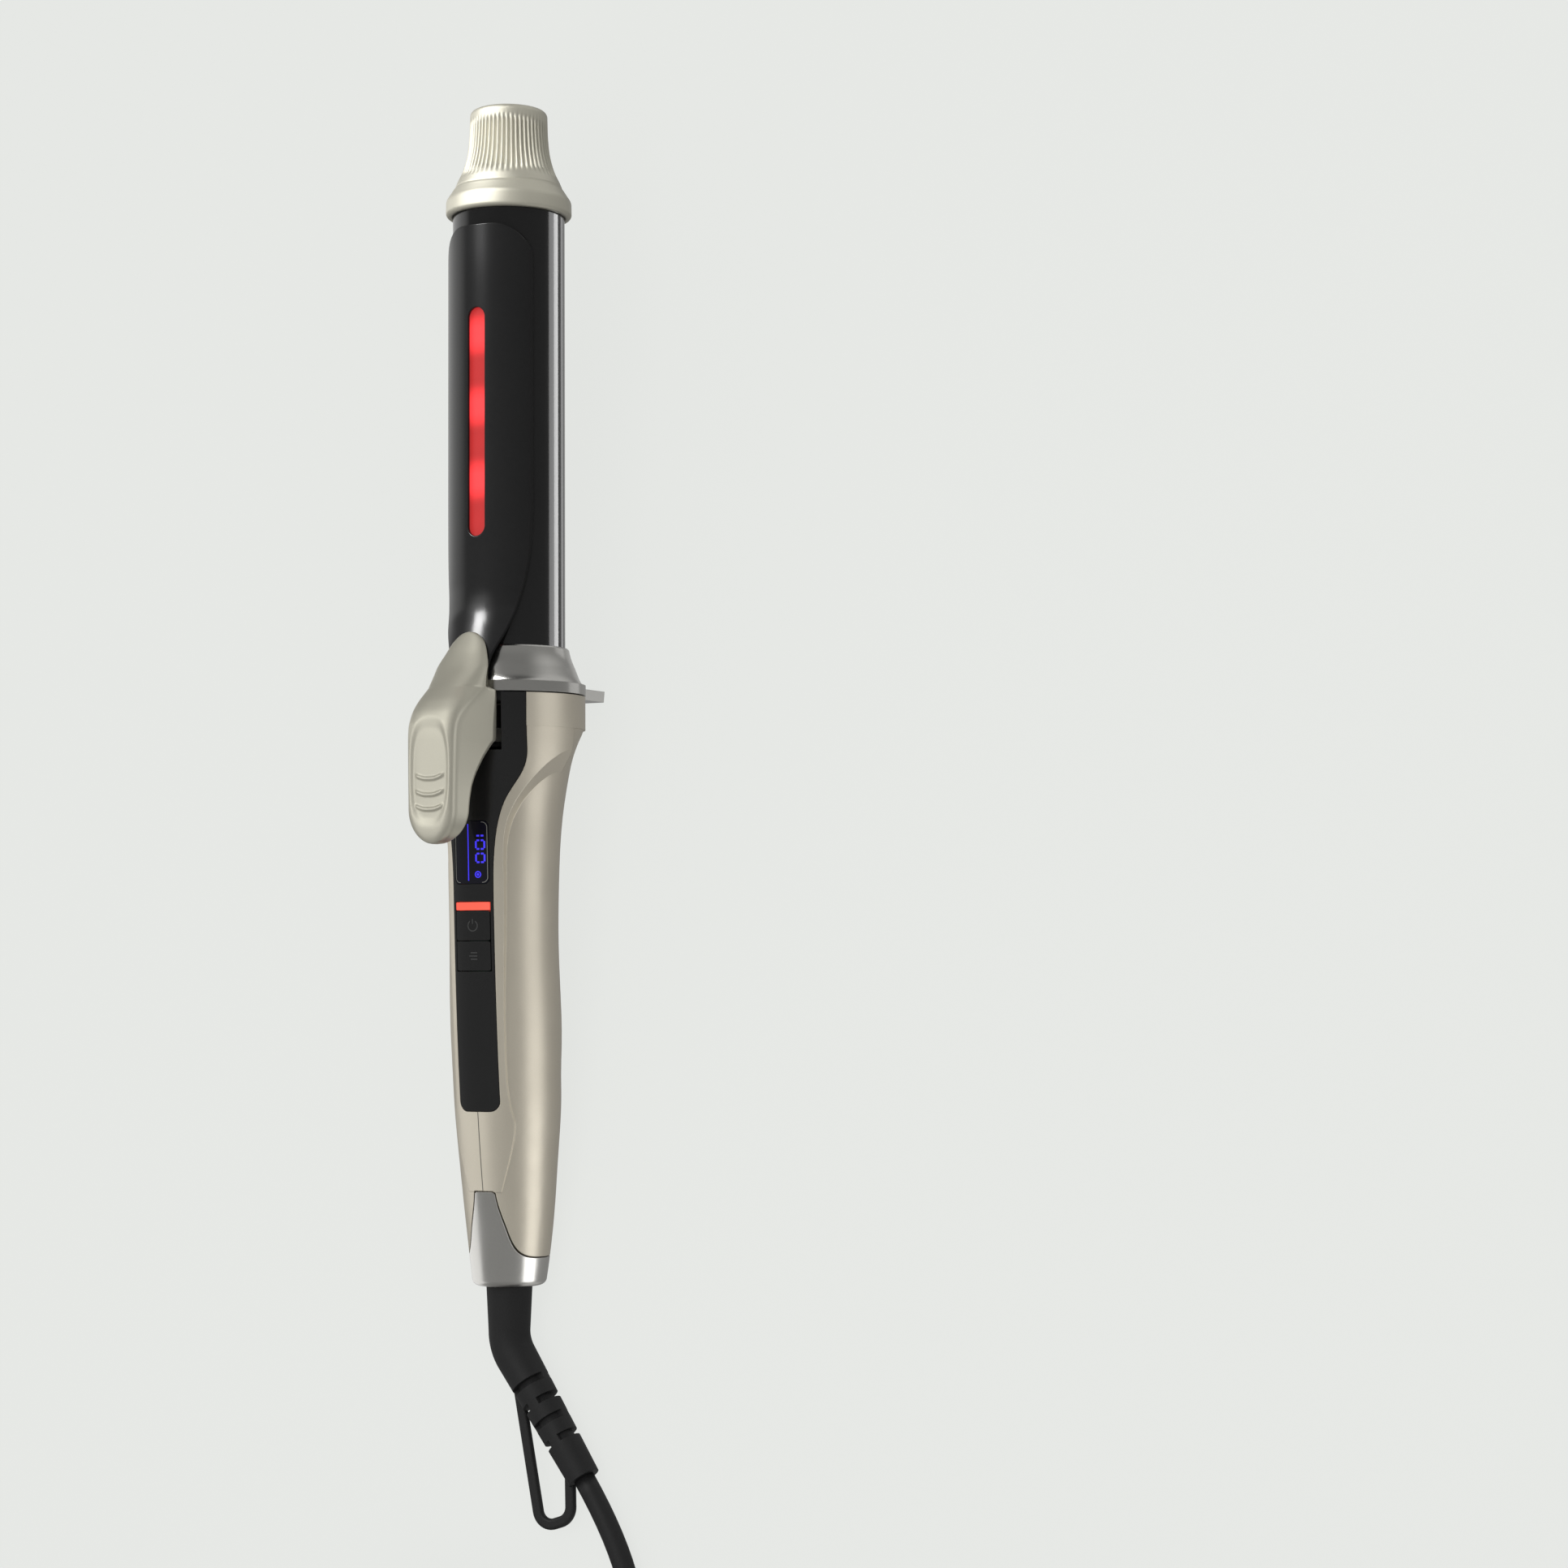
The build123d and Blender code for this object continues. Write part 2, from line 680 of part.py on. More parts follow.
# Lever: a saddle from the clamp's neck up to a thumb pad, hollow underneath, with two ears on the pin
ear_foot = pin_height - ear_reach
under_tip = neck_height(lever_tip - 1.5) + 0.5
with BuildPart() as clamp_lever:
    with BuildSketch(side_view):
        with BuildLine():
            ridge = Spline(
                (under_tip + 0.9, lever_tip),
                (lever_top - 13.4, 6.5),
                (lever_top - 6.1, -1.0),
                (lever_top - 1.4, -7.4),
                (lever_top - 0.1, -15.0),
                (lever_top, -28.0),
                tangents=((0.5, -1), (0, -1)),
            )
            flat = Line(ridge @ 1, (lever_top, lever_end + 5.0))
            nose = TangentArc(flat @ 1, (lever_top - 6.8, lever_end + 3.6), tangent=(0, -1))
            belly = Spline(
                nose @ 1,
                (lever_top - 8.0, -28.0),
                (ear_foot + 3.5, -15.0),
                (ear_foot, ear_rear),
                tangents=((-0.2, 1), (-1, 0)),
            )
            Polyline(
                belly @ 1,
                (ear_foot, ear_front),
                (neck_height(0.8) + 0.15, ear_front + 1.2),
                (under_tip, lever_tip - 0.3),
                ridge @ 0,
            )
        make_face()
    extrude(amount=ear_outer + 1, both=True)
    with BuildSketch(above(0)):
        with BuildLine():
            flank = Spline(
                (0, lever_tip),
                (5.6, 14.0),
                (8.3, 6.0),
                (ear_outer, -3.0),
                (ear_outer - 0.1, -13.0),
                (ear_outer - 0.9, -24.0),
                (ear_outer - 1.0, -34.0),
                (6.2, lever_end + 2.2),
                (0, lever_end),
                tangents=((1, 0), (-1, 0)),
            )
            mirror(flank, about=Plane.YZ)
        make_face()
    extrude(amount=2 * lever_top, mode=Mode.INTERSECT)
    with BuildSketch(side_view):
        with BuildLine():
            roof = Spline(
                (neck_height(0.8) + 0.1, 1.0),
                (lever_top - 9.4, -4.0),
                (lever_top - 3.8, -12.0),
                (lever_top - lever_skin, -24.0),
                (lever_top - lever_skin, -36.0),
                tangents=((1, -1), (0, -1)),
            )
            Polyline(roof @ 1, (ear_foot - 1, -36.0), (ear_foot - 1, 1.0), roof @ 0)
        make_face()
    extrude(amount=ear_inner, both=True, mode=Mode.SUBTRACT)
    with BuildSketch(beside(-ear_inner - 0.2)):
        with Locations((pin_height + ear_reach + lever_web[0] / 2, ear_rear - web_setback)):
            Rectangle(*lever_web)
    extrude(amount=2 * ear_inner + 0.4)
    with BuildSketch(above(lever_top - pad_depth)):
        with Locations((0, pad_middle)):
            SlotOverall(pad_length, 2 * pad_half_width, rotation=90)
    extrude(amount=pad_depth + 1, mode=Mode.SUBTRACT)
    with BuildSketch(above(lever_top - pad_depth)):
        for ridge_station in ridge_stations:
            ridge_end = ridge_station + ridge_bow
            with BuildLine():
                curve = ThreePointArc(
                    (-ridge_half_width, ridge_end), (0, ridge_station), (ridge_half_width, ridge_end)
                )
            SlotArc(curve, ridge_width)
    extrude(amount=pad_depth * 0.7)
    with BuildSketch(beside(-pin_half_length - 0.2)):
        with Locations((pin_height, pin_station)):
            Circle(pin_radius + pin_play)
    extrude(amount=2 * pin_half_length + 0.4, mode=Mode.SUBTRACT)
    with BuildSketch(*[screw_plane(station, -1) for station in screw_stations]):
        Circle(screw_radius + press_gap)
    extrude(amount=screw_length + 0.1 + 1, mode=Mode.SUBTRACT)
clamp_lever.part.label = "clamp_lever"
export_step(clamp_lever.part, "parts/clamp_lever.step")

# Screws that hold the clamp's neck under the lever
with BuildPart() as lever_screws:
    head_seat = -clamp_thickness - screw_seat
    with BuildSketch(*[screw_plane(station, head_seat - screw_head) for station in screw_stations]):
        Circle(screw_head_radius)
    extrude(amount=screw_head)
    with BuildSketch(*[screw_plane(station, head_seat) for station in screw_stations]):
        Circle(screw_radius)
    extrude(amount=screw_length - head_seat)
lever_screws.part.label = "lever_screws"
export_step(lever_screws.part, "parts/lever_screws.step")

# Hinge: a steel bracket on the holder, the pin through its lugs and the ears, and the closing spring
bracket_seat = holder_body - holder_flat
with BuildPart() as hinge_bracket:
    with BuildSketch(above(bracket_seat)):
        with Locations((0, bracket_middle)):
            Rectangle(2 * lug_outer, bracket_length)
    extrude(amount=bracket_thickness)
    for lug_side in (-lug_outer, lug_outer - lug_thickness):
        with BuildSketch(beside(lug_side)):
            with Locations(((bracket_seat + pin_height) / 2, pin_station)):
                Rectangle(pin_height - bracket_seat, 2 * lug_head)
            with Locations((pin_height, pin_station)):
                Circle(lug_head)
        extrude(amount=lug_thickness)
    with BuildSketch(beside(-lug_outer)):
        with Locations((pin_height, pin_station)):
            Circle(pin_radius + press_gap)
    extrude(amount=2 * lug_outer, mode=Mode.SUBTRACT)
hinge_bracket.part.label = "hinge_bracket"
export_step(hinge_bracket.part, "parts/hinge_bracket.step")

with BuildPart() as hinge_pin:
    with BuildSketch(beside(-pin_half_length)):
        with Locations((pin_height, pin_station)):
            Circle(pin_radius)
    extrude(amount=2 * pin_half_length)
    chamfer(hinge_pin.edges().filter_by(GeomType.CIRCLE), pin_chamfer)
hinge_pin.part.label = "hinge_pin"
export_step(hinge_pin.part, "parts/hinge_pin.step")

spring_step = spring_pitch / 2
spring_start = -spring_step * spring_half_turns / 2


def spring_point(height, station, width):
    """A point of the spring, measured from the middle of the pin."""
    return side_view.from_local_coords(Vector(pin_height + height, pin_station + station, width))


with BuildPart() as clamp_spring:
    with BuildLine() as spring_path:
        Line(
            spring_point(-spring_mean_radius, -spring_leg, spring_start),
            spring_point(-spring_mean_radius, 0, spring_start),
        )
        for k in range(spring_half_turns):
            side = 1 if k % 2 else -1
            start = spring_start + k * spring_step
            ThreePointArc(
                spring_point(side * spring_mean_radius, 0, start),
                spring_point(0, -side * spring_mean_radius, start + spring_step / 2),
                spring_point(-side * spring_mean_radius, 0, start + spring_step),
            )
        Line(
            spring_point(spring_mean_radius, 0, -spring_start),
            spring_point(spring_mean_radius, -spring_short_leg, -spring_start),
        )
    spring_wire_path = spring_path.line
    with BuildSketch(Plane(spring_wire_path @ 0, z_dir=spring_wire_path % 0)):
        Circle(spring_wire / 2)
    sweep(path=spring_wire_path)
clamp_spring.part.label = "clamp_spring"
export_step(clamp_spring.part, "parts/clamp_spring.step")


def round_form(sections, inset):
    """A smooth body through the round sections, drawn in by an inset."""
    with BuildPart() as form:
        for share, radius, lift in sections:
            with BuildSketch(tool.offset(along_grip(share))):
                with Locations((0, lift)):
                    Circle(radius - inset)
        loft()
    return form.part


def panel_outline(clearance):
    """The panel seen from the front, grown by a clearance: broad at the neck, then a narrow strip."""
    neck = panel_neck_half_width + clearance
    half = panel_half_width + clearance
    foot = panel_foot - clearance
    with BuildSketch(above(0)) as outline:
        with BuildLine():
            top = Line((0, panel_top + clearance), (neck, panel_top + clearance))
            shoulder = Line(top @ 1, (neck, panel_shoulder))
            flank = Spline(
                shoulder @ 1,
                (half + 3.8, panel_shoulder - 13.7),
                (half + 0.3, panel_shoulder - 30.0),
                (half, panel_shoulder - 44.0),
                tangents=((0, -1), (0, -1)),
            )
            strip = Line(flank @ 1, (half, foot + panel_corner))
            turn = TangentArc(strip @ 1, (half - panel_corner, foot), tangent=(0, -1))
            Line(turn @ 1, (0, foot))
            mirror(about=Plane.YZ)
        make_face()
    return outline.sketch


def seam_outline(clearance):
    """The end cap's tongue seen from the front, grown by a clearance, with soft shoulders."""
    top = tongue_top + clearance
    half = tongue_half_width + clearance
    seam = seam_station - seam_gap + clearance
    with BuildSketch(above(0)) as outline:
        with BuildLine():
            tip = Line((0, top), (half - 1.0, top))
            corner = TangentArc(tip @ 1, (half, top - 1.0), tangent=(1, 0))
            shoulder = Spline(
                corner @ 1,
                (half + 2.3, top - 10.5),
                (half + 4.9, seam + 1.6),
                (end_radius + 2.0, seam),
                tangents=((0.12, -1), (1, 0)),
            )
            Polyline(shoulder @ 1, (end_radius + 2.0, seam - 3.0), (0, seam - 3.0))
            mirror(about=Plane.YZ)
        make_face()
    return outline.sketch


grip_form = round_form(grip_sections, 0)
spine_form = round_form(spine_sections, 0)
spine_inner = round_form(spine_sections, panel_thickness)
bed_form = round_form(spine_sections, panel_thickness + seat_gap)
grip_inner = round_form(grip_sections, handle_wall)
end_inner = round_form(grip_sections, end_wall)

# The spine is a raised bed under the panel, bounded by the crease that sweeps down from the neck's side
with BuildPart() as spine:
    with BuildSketch(above(0)):
        with BuildLine():
            head = Line((0, -seam_gap), (neck_radius + 1, -seam_gap))
            neck_side = Line(head @ 1, (neck_radius + 1, neck_foot))
            crease = Spline(
                neck_side @ 1,
                (19.4, neck_foot - 9.2),
                (14.6, neck_foot - 17.0),
                (10.6, neck_foot - 25.5),
                (spine_half_width, neck_foot - 42.0),
                (spine_half_width, panel_foot),
                (tongue_half_width + 2.0, tongue_top),
                tangents=((0, -1), (-0.3, -1)),
            )
            Line(crease @ 1, (0, tongue_top))
            mirror(about=Plane.YZ)
        make_face()
    extrude(amount=2 * neck_radius)
    add(spine_form, mode=Mode.INTERSECT)

with BuildPart() as shell:
    add(grip_form)
    with BuildSketch(tool.offset(neck_foot)):
        Circle(neck_radius)
    extrude(amount=-neck_foot - seam_gap)
    add(spine.part)
    add(grip_inner, mode=Mode.SUBTRACT)
    with BuildSketch(tool.offset(neck_foot - 1)):
        Circle(holder_radius + fit_gap)
    extrude(amount=-neck_foot + 1, mode=Mode.SUBTRACT)
    with BuildSketch(above(0)):
        with Locations((0, (well_top + well_foot) / 2)):
            Rectangle(2 * well_half_width, well_top - well_foot)
        with Locations((0, (board_start + board_end) / 2)):
            Rectangle(board_width + board_room, board_start - board_end + 3 * board_room)
    extrude(amount=2 * neck_radius, mode=Mode.SUBTRACT)

with BuildPart() as panel_bed:
    extrude(to_extrude=panel_outline(fit_gap), amount=2 * neck_radius)
    add(bed_form, mode=Mode.SUBTRACT)

with BuildPart() as end_room:
    with BuildSketch(tool.offset(end_station - 1)):
        Circle(2 * end_radius)
    extrude(amount=seam_station - end_station + 1)
    extrude(to_extrude=seam_outline(seam_gap), amount=2 * neck_radius)
    add(round_form(grip_sections, end_wall + seat_gap), mode=Mode.SUBTRACT)
    with BuildSketch(tool.offset(end_station - 1)):
        Circle(2 * end_radius)
    extrude(amount=seam_station - end_station + 1)

shell_room = -2 * end_station  # larger than the whole handle
for shell_name, shell_side in (("handle_left", 1), ("handle_right", -1)):
    with BuildPart() as half_shell:
        add(shell.part)
        with BuildSketch(side_view):
            Rectangle(shell_room, 2 * shell_room)
        extrude(amount=shell_side * 2 * neck_radius, mode=Mode.INTERSECT)
        add(panel_bed.part, mode=Mode.SUBTRACT)
        add(end_room.part, mode=Mode.SUBTRACT)
    half_shell.part.label = shell_name
    export_step(half_shell.part, f"parts/{shell_name}.step")

# Control panel: a thin skin on the spine with openings for the display, the light bar and the buttons
keys_top = bar_top
keys_foot = bar_top - bar_height - 2 * button_length - 2 * button_gap
post_stations = (
    display_middle - display_length / 2 - post_setback[0],
    keys_foot - post_setback[1],
    board_end + post_setback[1],
)
with BuildPart() as control_panel:
    extrude(to_extrude=panel_outline(0), amount=2 * neck_radius)
    add(spine_form, mode=Mode.INTERSECT)
    add(spine_inner, mode=Mode.SUBTRACT)
    with BuildSketch(above(0)):
        with Locations((0, (well_top + well_foot) / 2)):
            Rectangle(2 * well_half_width, well_top - well_foot)
        with Locations((0, display_middle)):
            RectangleRounded(display_width + 2 * fit_gap, display_length + 2 * fit_gap, display_corner)
        with Locations((0, (keys_top + keys_foot) / 2)):
            Rectangle(button_width + 2 * button_gap, keys_top - keys_foot + 2 * button_gap)
    extrude(amount=2 * neck_radius, mode=Mode.SUBTRACT)
    with BuildSketch(above(board_top + seat_gap)):
        with Locations(*[(0, station) for station in post_stations]):
            Circle(post_radius)
    extrude(until=Until.NEXT)
control_panel.part.label = "control_panel"
export_step(control_panel.part, "parts/control_panel.step")


def inlay(width, length, middle, corner, bottom):
    """A piece that lies flush in the panel: its top follows the panel and its bottom is flat."""
    with BuildPart() as piece:
        with BuildSketch(above(bottom)):
            with Locations((0, middle)):
                RectangleRounded(width, length, corner)
        extrude(amount=neck_radius)
        add(spine_form, mode=Mode.INTERSECT)
    return piece


window_corner = display_corner - fit_gap
display_window = inlay(display_width, display_length, display_middle, window_corner, display_bottom)
display_window.part.label = "display_window"
export_step(display_window.part, "parts/display_window.step")

with BuildPart() as display_module:
    with BuildSketch(above(board_top)):
        with Locations((0, display_middle)):
            Rectangle(display_width - display_border, display_length - display_border)
    extrude(amount=display_bottom - board_top)
display_module.part.label = "display_module"
export_step(display_module.part, "parts/display_module.step")

light_bar = inlay(button_width, bar_height, bar_top - bar_height / 2, bar_corner, key_bottom)
light_bar.part.label = "light_bar"
export_step(light_bar.part, "parts/light_bar.step")

power_middle = bar_top - bar_height - button_gap - button_length / 2
mode_middle = power_middle - button_length - button_gap
power_button = inlay(button_width, button_length, power_middle, button_corner, key_bottom)
power_button.part.label = "power_button"
export_step(power_button.part, "parts/power_button.step")

mode_button = inlay(button_width, button_length, mode_middle, button_corner, key_bottom)
mode_button.part.label = "mode_button"
export_step(mode_button.part, "parts/mode_button.step")

# Circuit board under the panel's posts, with the key switches above it and the power parts below
with BuildPart() as circuit_board:
    with BuildSketch(above(board_top - board_thickness)):
        with Locations((0, (board_start + board_end) / 2)):
            RectangleRounded(board_width, board_start - board_end, board_corner)
    extrude(amount=board_thickness)
circuit_board.part.label = "circuit_board"
export_step(circuit_board.part, "parts/circuit_board.step")

with BuildPart() as button_switches:
    with BuildSketch(above(board_top)):
        with Locations((0, power_middle), (0, mode_middle)):
            Rectangle(switch_size, switch_size)
    extrude(amount=switch_height - switch_stroke)
    with BuildSketch(above(board_top)):
        with Locations((0, power_middle), (0, mode_middle)):
            Circle(switch_button_radius)
    extrude(amount=switch_height)
button_switches.part.label = "button_switches"
export_step(button_switches.part, "parts/button_switches.step")

with BuildPart() as board_components:
    board_underside = board_top - board_thickness
    with BuildSketch(above(board_underside)):
        with Locations((0, power_middle)):
            Rectangle(power_part[0], power_part[1])
    extrude(amount=-power_part[2])
    with BuildSketch(tool.offset(board_end + capacitor_setback)):
        with Locations((0, board_underside - capacitor_radius)):
            Circle(capacitor_radius)
    extrude(amount=capacitor_length)
board_components.part.label = "board_components"
export_step(board_components.part, "parts/board_components.step")

# End cap: a cup that closes the handle, with a tongue up its front and the bore of the swivel
with BuildPart() as end_cup:
    with BuildSketch(tool.offset(end_station)):
        Circle(2 * end_radius)
    extrude(amount=seam_station - seam_gap - end_station)
    extrude(to_extrude=seam_outline(0), amount=2 * neck_radius)

with BuildPart() as end_hollow:
    add(end_inner)
    with BuildSketch(tool.offset(end_station)):
        Circle(2 * end_radius)
    extrude(amount=end_floor, mode=Mode.SUBTRACT)

with BuildPart() as end_cap:
    add(grip_form)
    fillet(end_cap.edges().group_by(tool_axis)[0], end_edge_radius)
    add(end_cup.part, mode=Mode.INTERSECT)
    add(end_hollow.part, mode=Mode.SUBTRACT)
    with BuildSketch(tool.offset(end_station)):
        Circle(bore_radius)
    extrude(amount=end_floor, mode=Mode.SUBTRACT)
end_cap.part.label = "end_cap"
export_step(end_cap.part, "parts/end_cap.step")

# Swivel: a fixed housing over the bush's head, with two contact rings in its underside
head_foot = end_station + end_floor + running_gap
head_top = head_foot + bush_head_thickness
housing_radius = end_radius - end_wall + seat_gap
housing_foot = end_station + end_floor + seat_gap
with BuildPart() as swivel_housing:
    with BuildSketch(tool.offset(housing_foot)):
        Circle(housing_radius)
        Circle(bush_head_radius + running_gap, mode=Mode.SUBTRACT)
    extrude(amount=head_top + running_gap - housing_foot)
    with BuildSketch(tool.offset(head_top + running_gap)):
        Circle(housing_radius)
    extrude(amount=housing_disc)
    for inner, outer in ring_radii:
        with BuildSketch(tool.offset(head_top + running_gap)):
            Circle(outer + press_gap)
            Circle(inner - press_gap, mode=Mode.SUBTRACT)
        extrude(amount=ring_thickness, mode=Mode.SUBTRACT)
swivel_housing.part.label = "swivel_housing"
export_step(swivel_housing.part, "parts/swivel_housing.step")

with BuildPart() as contact_rings:
    for inner, outer in ring_radii:
        with BuildSketch(tool.offset(head_top + running_gap + press_gap)):
            Circle(outer)
            Circle(inner, mode=Mode.SUBTRACT)
        extrude(amount=ring_thickness - 2 * press_gap)
contact_rings.part.label = "contact_rings"
export_step(contact_rings.part, "parts/contact_rings.step")

housing_top = head_top + running_gap + housing_disc
supply_leads = lead_pair(
    [
        (lead_lift, housing_top + seat_gap),
        (lead_lift, housing_top + lead_rise),
        (board_middle, board_end - lead_bend),
        (board_middle, board_end - fit_gap),
    ],
    lead_spacing,
)
supply_leads.part.label = "supply_leads"
export_step(supply_leads.part, "parts/supply_leads.step")

# Bush: a head that turns in the end cap, a short sleeve, a bend and a slotted relief for the cord
sleeve_top = end_station - running_gap
bend_start = tool.from_local_coords(Vector(0, 0, sleeve_top - bush_sleeve))
sleeve_way = -tool.z_dir
swing = radians(bush_swing)
dip = radians(bush_dip)
relief_way = Vector(-cos(swing) * cos(dip), -sin(swing) * cos(dip), -sin(dip))
bend_turn = radians(sleeve_way.get_angle(relief_way))
bend_side = (relief_way - sleeve_way * cos(bend_turn)).normalized()


def bend_point(turn):
    """A point of the bush's bend, a turn in radians after its start."""
    onward = bush_bend_radius * sin(turn)
    aside = bush_bend_radius * (1 - cos(turn))
    return bend_start + sleeve_way * onward + bend_side * aside


bend_end = bend_point(bend_turn)
relief = Plane(bend_end, x_dir=relief_way.cross(Vector(0, 0, 1)), z_dir=relief_way)
relief_end = relief.from_local_coords(Vector(0, 0, relief_length))
slot_starts = [relief_solid + k * relief_pitch for k in range(relief_slots)]
with BuildPart() as cord_bush:
    with BuildSketch(tool.offset(head_foot)):
        Circle(bush_head_radius)
    extrude(amount=bush_head_thickness)
    with BuildSketch(tool.offset(sleeve_top)):
        Circle(bush_neck_radius)
    extrude(amount=head_foot - sleeve_top)
    with BuildSketch(tool.offset(sleeve_top)):
        Circle(bush_radius)
    with BuildSketch(tool.offset(sleeve_top - bush_sleeve)):
        Circle(relief_start_radius)
    loft()
    with BuildLine() as bend_path:
        ThreePointArc(bend_start, bend_point(bend_turn / 2), bend_end)
    with BuildSketch(Plane(bend_start, z_dir=sleeve_way)):
        Circle(relief_start_radius)
    sweep(path=bend_path.line)
    with BuildSketch(relief):
        Circle(relief_start_radius)
    with BuildSketch(relief.offset(relief_length)):
        Circle(relief_end_radius)
    loft()
    for k, slot_start in enumerate(slot_starts):
        with BuildSketch(relief.offset(slot_start)):
            Circle(2 * relief_start_radius)
            Circle(relief_core, mode=Mode.SUBTRACT)
            Rectangle(3 * relief_start_radius, relief_bridge, rotation=90 * (k % 2), mode=Mode.SUBTRACT)
        extrude(amount=relief_slot_width, mode=Mode.SUBTRACT)
cord_bush.part.label = "cord_bush"
export_step(cord_bush.part, "parts/cord_bush.step")

# Hang loop: a strap from the start of the relief, out beside it and back to its end
loop_plane = Plane(bend_end, x_dir=relief_way, z_dir=relief_way.cross(relief.x_dir))
with BuildPart() as hang_loop:
    with BuildLine(loop_plane) as loop_path:
        FilletPolyline(*loop_points, radius=loop_bend)
    with BuildSketch(Plane(loop_path.line @ 0, x_dir=loop_plane.z_dir, z_dir=loop_path.line % 0)):
        RectangleRounded(loop_thickness, loop_width, loop_corner)
    sweep(path=loop_path.line)
    with BuildSketch(relief):
        Circle(relief_start_radius + seat_gap / 2)
    with BuildSketch(relief.offset(relief_length)):
        Circle(relief_end_radius + seat_gap / 2)
    loft(mode=Mode.SUBTRACT)
hang_loop.part.label = "hang_loop"
export_step(hang_loop.part, "parts/hang_loop.step")

# Cord: a free stretch from the relief to the coil, along hand-picked points on the table
coil_start_radius = coil_inner_radius + coil_half_turns * coil_pitch / 2
coil_low = coil_lift + cord_radius
coil_high = coil_low + coil_pitch
coil_entry = Vector(coil_centre[0] + 2 * cord_radius, coil_centre[1] - coil_start_radius, coil_low)
cord_route = [
    relief_end,
    relief_end + relief_way * cord_lead,
    Vector(*cord_corner),
    coil_entry + Vector(cord_run_in, 0, 0),
    coil_entry,
]


def corner_radii(route):
    """The largest arc radius at each corner of a route: 0.45 of the shorter run over tan(half turn)."""
    radii = []
    for before, corner, after in zip(route, route[1:], route[2:]):
        half_turn = radians((corner - before).get_angle(after - corner)) / 2
        radii.append(0.45 * min((corner - before).length, (after - corner).length) / tan(half_turn))
    return radii


cord_radii = corner_radii(cord_route)
with BuildPart() as power_cord:
    with BuildLine():
        cord_path = FilletPolyline(*cord_route, radius=cord_radii)
    with BuildSketch(Plane(relief_end, z_dir=cord_route[1] - cord_route[0])):
        Circle(cord_radius)
    sweep(path=cord_path)
power_cord.part.label = "power_cord"
export_step(power_cord.part, "parts/power_cord.step")
cord_length = cord_path.length
print("cord radii", [round(radius, 1) for radius in cord_radii])
cord_section = pi * cord_radius**2
print("cord volume over section times length", power_cord.part.volume / (cord_section * cord_length))

# Coil: half turns that spiral in on the table, climb a layer and spiral out again on top
coil_radii = [coil_start_radius - k * coil_pitch / 2 for k in range(coil_half_turns)]
coil_turns = [(radius, coil_low, coil_low) for radius in coil_radii]
coil_turns.append((coil_inner_radius, coil_low, coil_high))
coil_turns.extend((radius, coil_high, coil_high) for radius in reversed(coil_radii[1:]))
with BuildPart() as cord_coil:
    with BuildLine() as coil_path:
        place = Vector(coil_centre[0], coil_entry.Y, coil_low)
        Line(coil_entry, place)
        for k, (radius, low, high) in enumerate(coil_turns):
            side = 1 if k % 2 else -1
            middle = Vector(place.X + side * radius, place.Y - side * radius, (low + high) / 2)
            end = Vector(place.X, place.Y - side * 2 * radius, high)
            ThreePointArc(place, middle, end)
            place = end
        coil_exit = place - Vector(coil_tail, 0, 0)
        Line(place, coil_exit)
    with BuildSketch(Plane(coil_entry, z_dir=(-1, 0, 0))):
        Circle(cord_radius)
    sweep(path=coil_path.line)
cord_coil.part.label = "cord_coil"
export_step(cord_coil.part, "parts/cord_coil.step")
coil_wire = coil_path.wire()
coil_length = coil_wire.length
print("coil volume over section times length", cord_coil.part.volume / (cord_section * coil_length))
print("cord in all", cord_length + coil_length)

samples = int(coil_length / cord_radius)
skip = 12  # nearer points lie on the same stretch of cord
coil_dots = [coil_wire @ (k / samples) for k in range(samples + 1)]
nearest = min(
    (coil_dots[i] - coil_dots[j]).length
    for i in range(samples + 1)
    for j in range(i + skip, samples + 1)
)
print("least gap of the coil to itself", nearest - 2 * cord_radius)

# Ties: two straps round the coil's bundle, one on each side, which it lies on
tie_height = coil_pitch + 2 * cord_radius + 2 * tie_room
with BuildPart() as cord_tie:
    for side, near, far, stray in (
        (1, coil_inner_radius, coil_radii[1], 0),
        (-1, coil_radii[-1], coil_radii[0], coil_pitch / 2),
    ):
        # how far the inmost turn bends away under a strap
        tie_sag = (tie_width / 2 + stray) ** 2 / (2 * near)
        inner_edge = near - cord_radius - tie_room - tie_sag
        outer_edge = far + cord_radius + tie_room
        middle = Vector(
            coil_centre[0] + side * (inner_edge + outer_edge) / 2,
            coil_centre[1] + coil_pitch / 2 - tie_width / 2,
            (coil_low + coil_high) / 2,
        )
        span = outer_edge - inner_edge
        with BuildSketch(Plane(middle, x_dir=(1, 0, 0), z_dir=(0, 1, 0))):
            RectangleRounded(span + 2 * tie_thickness, tie_height + 2 * tie_thickness, tie_corner)
            RectangleRounded(span, tie_height, tie_corner - tie_thickness, mode=Mode.SUBTRACT)
        extrude(amount=tie_width)
cord_tie.part.label = "cord_tie"
export_step(cord_tie.part, "parts/cord_tie.step")

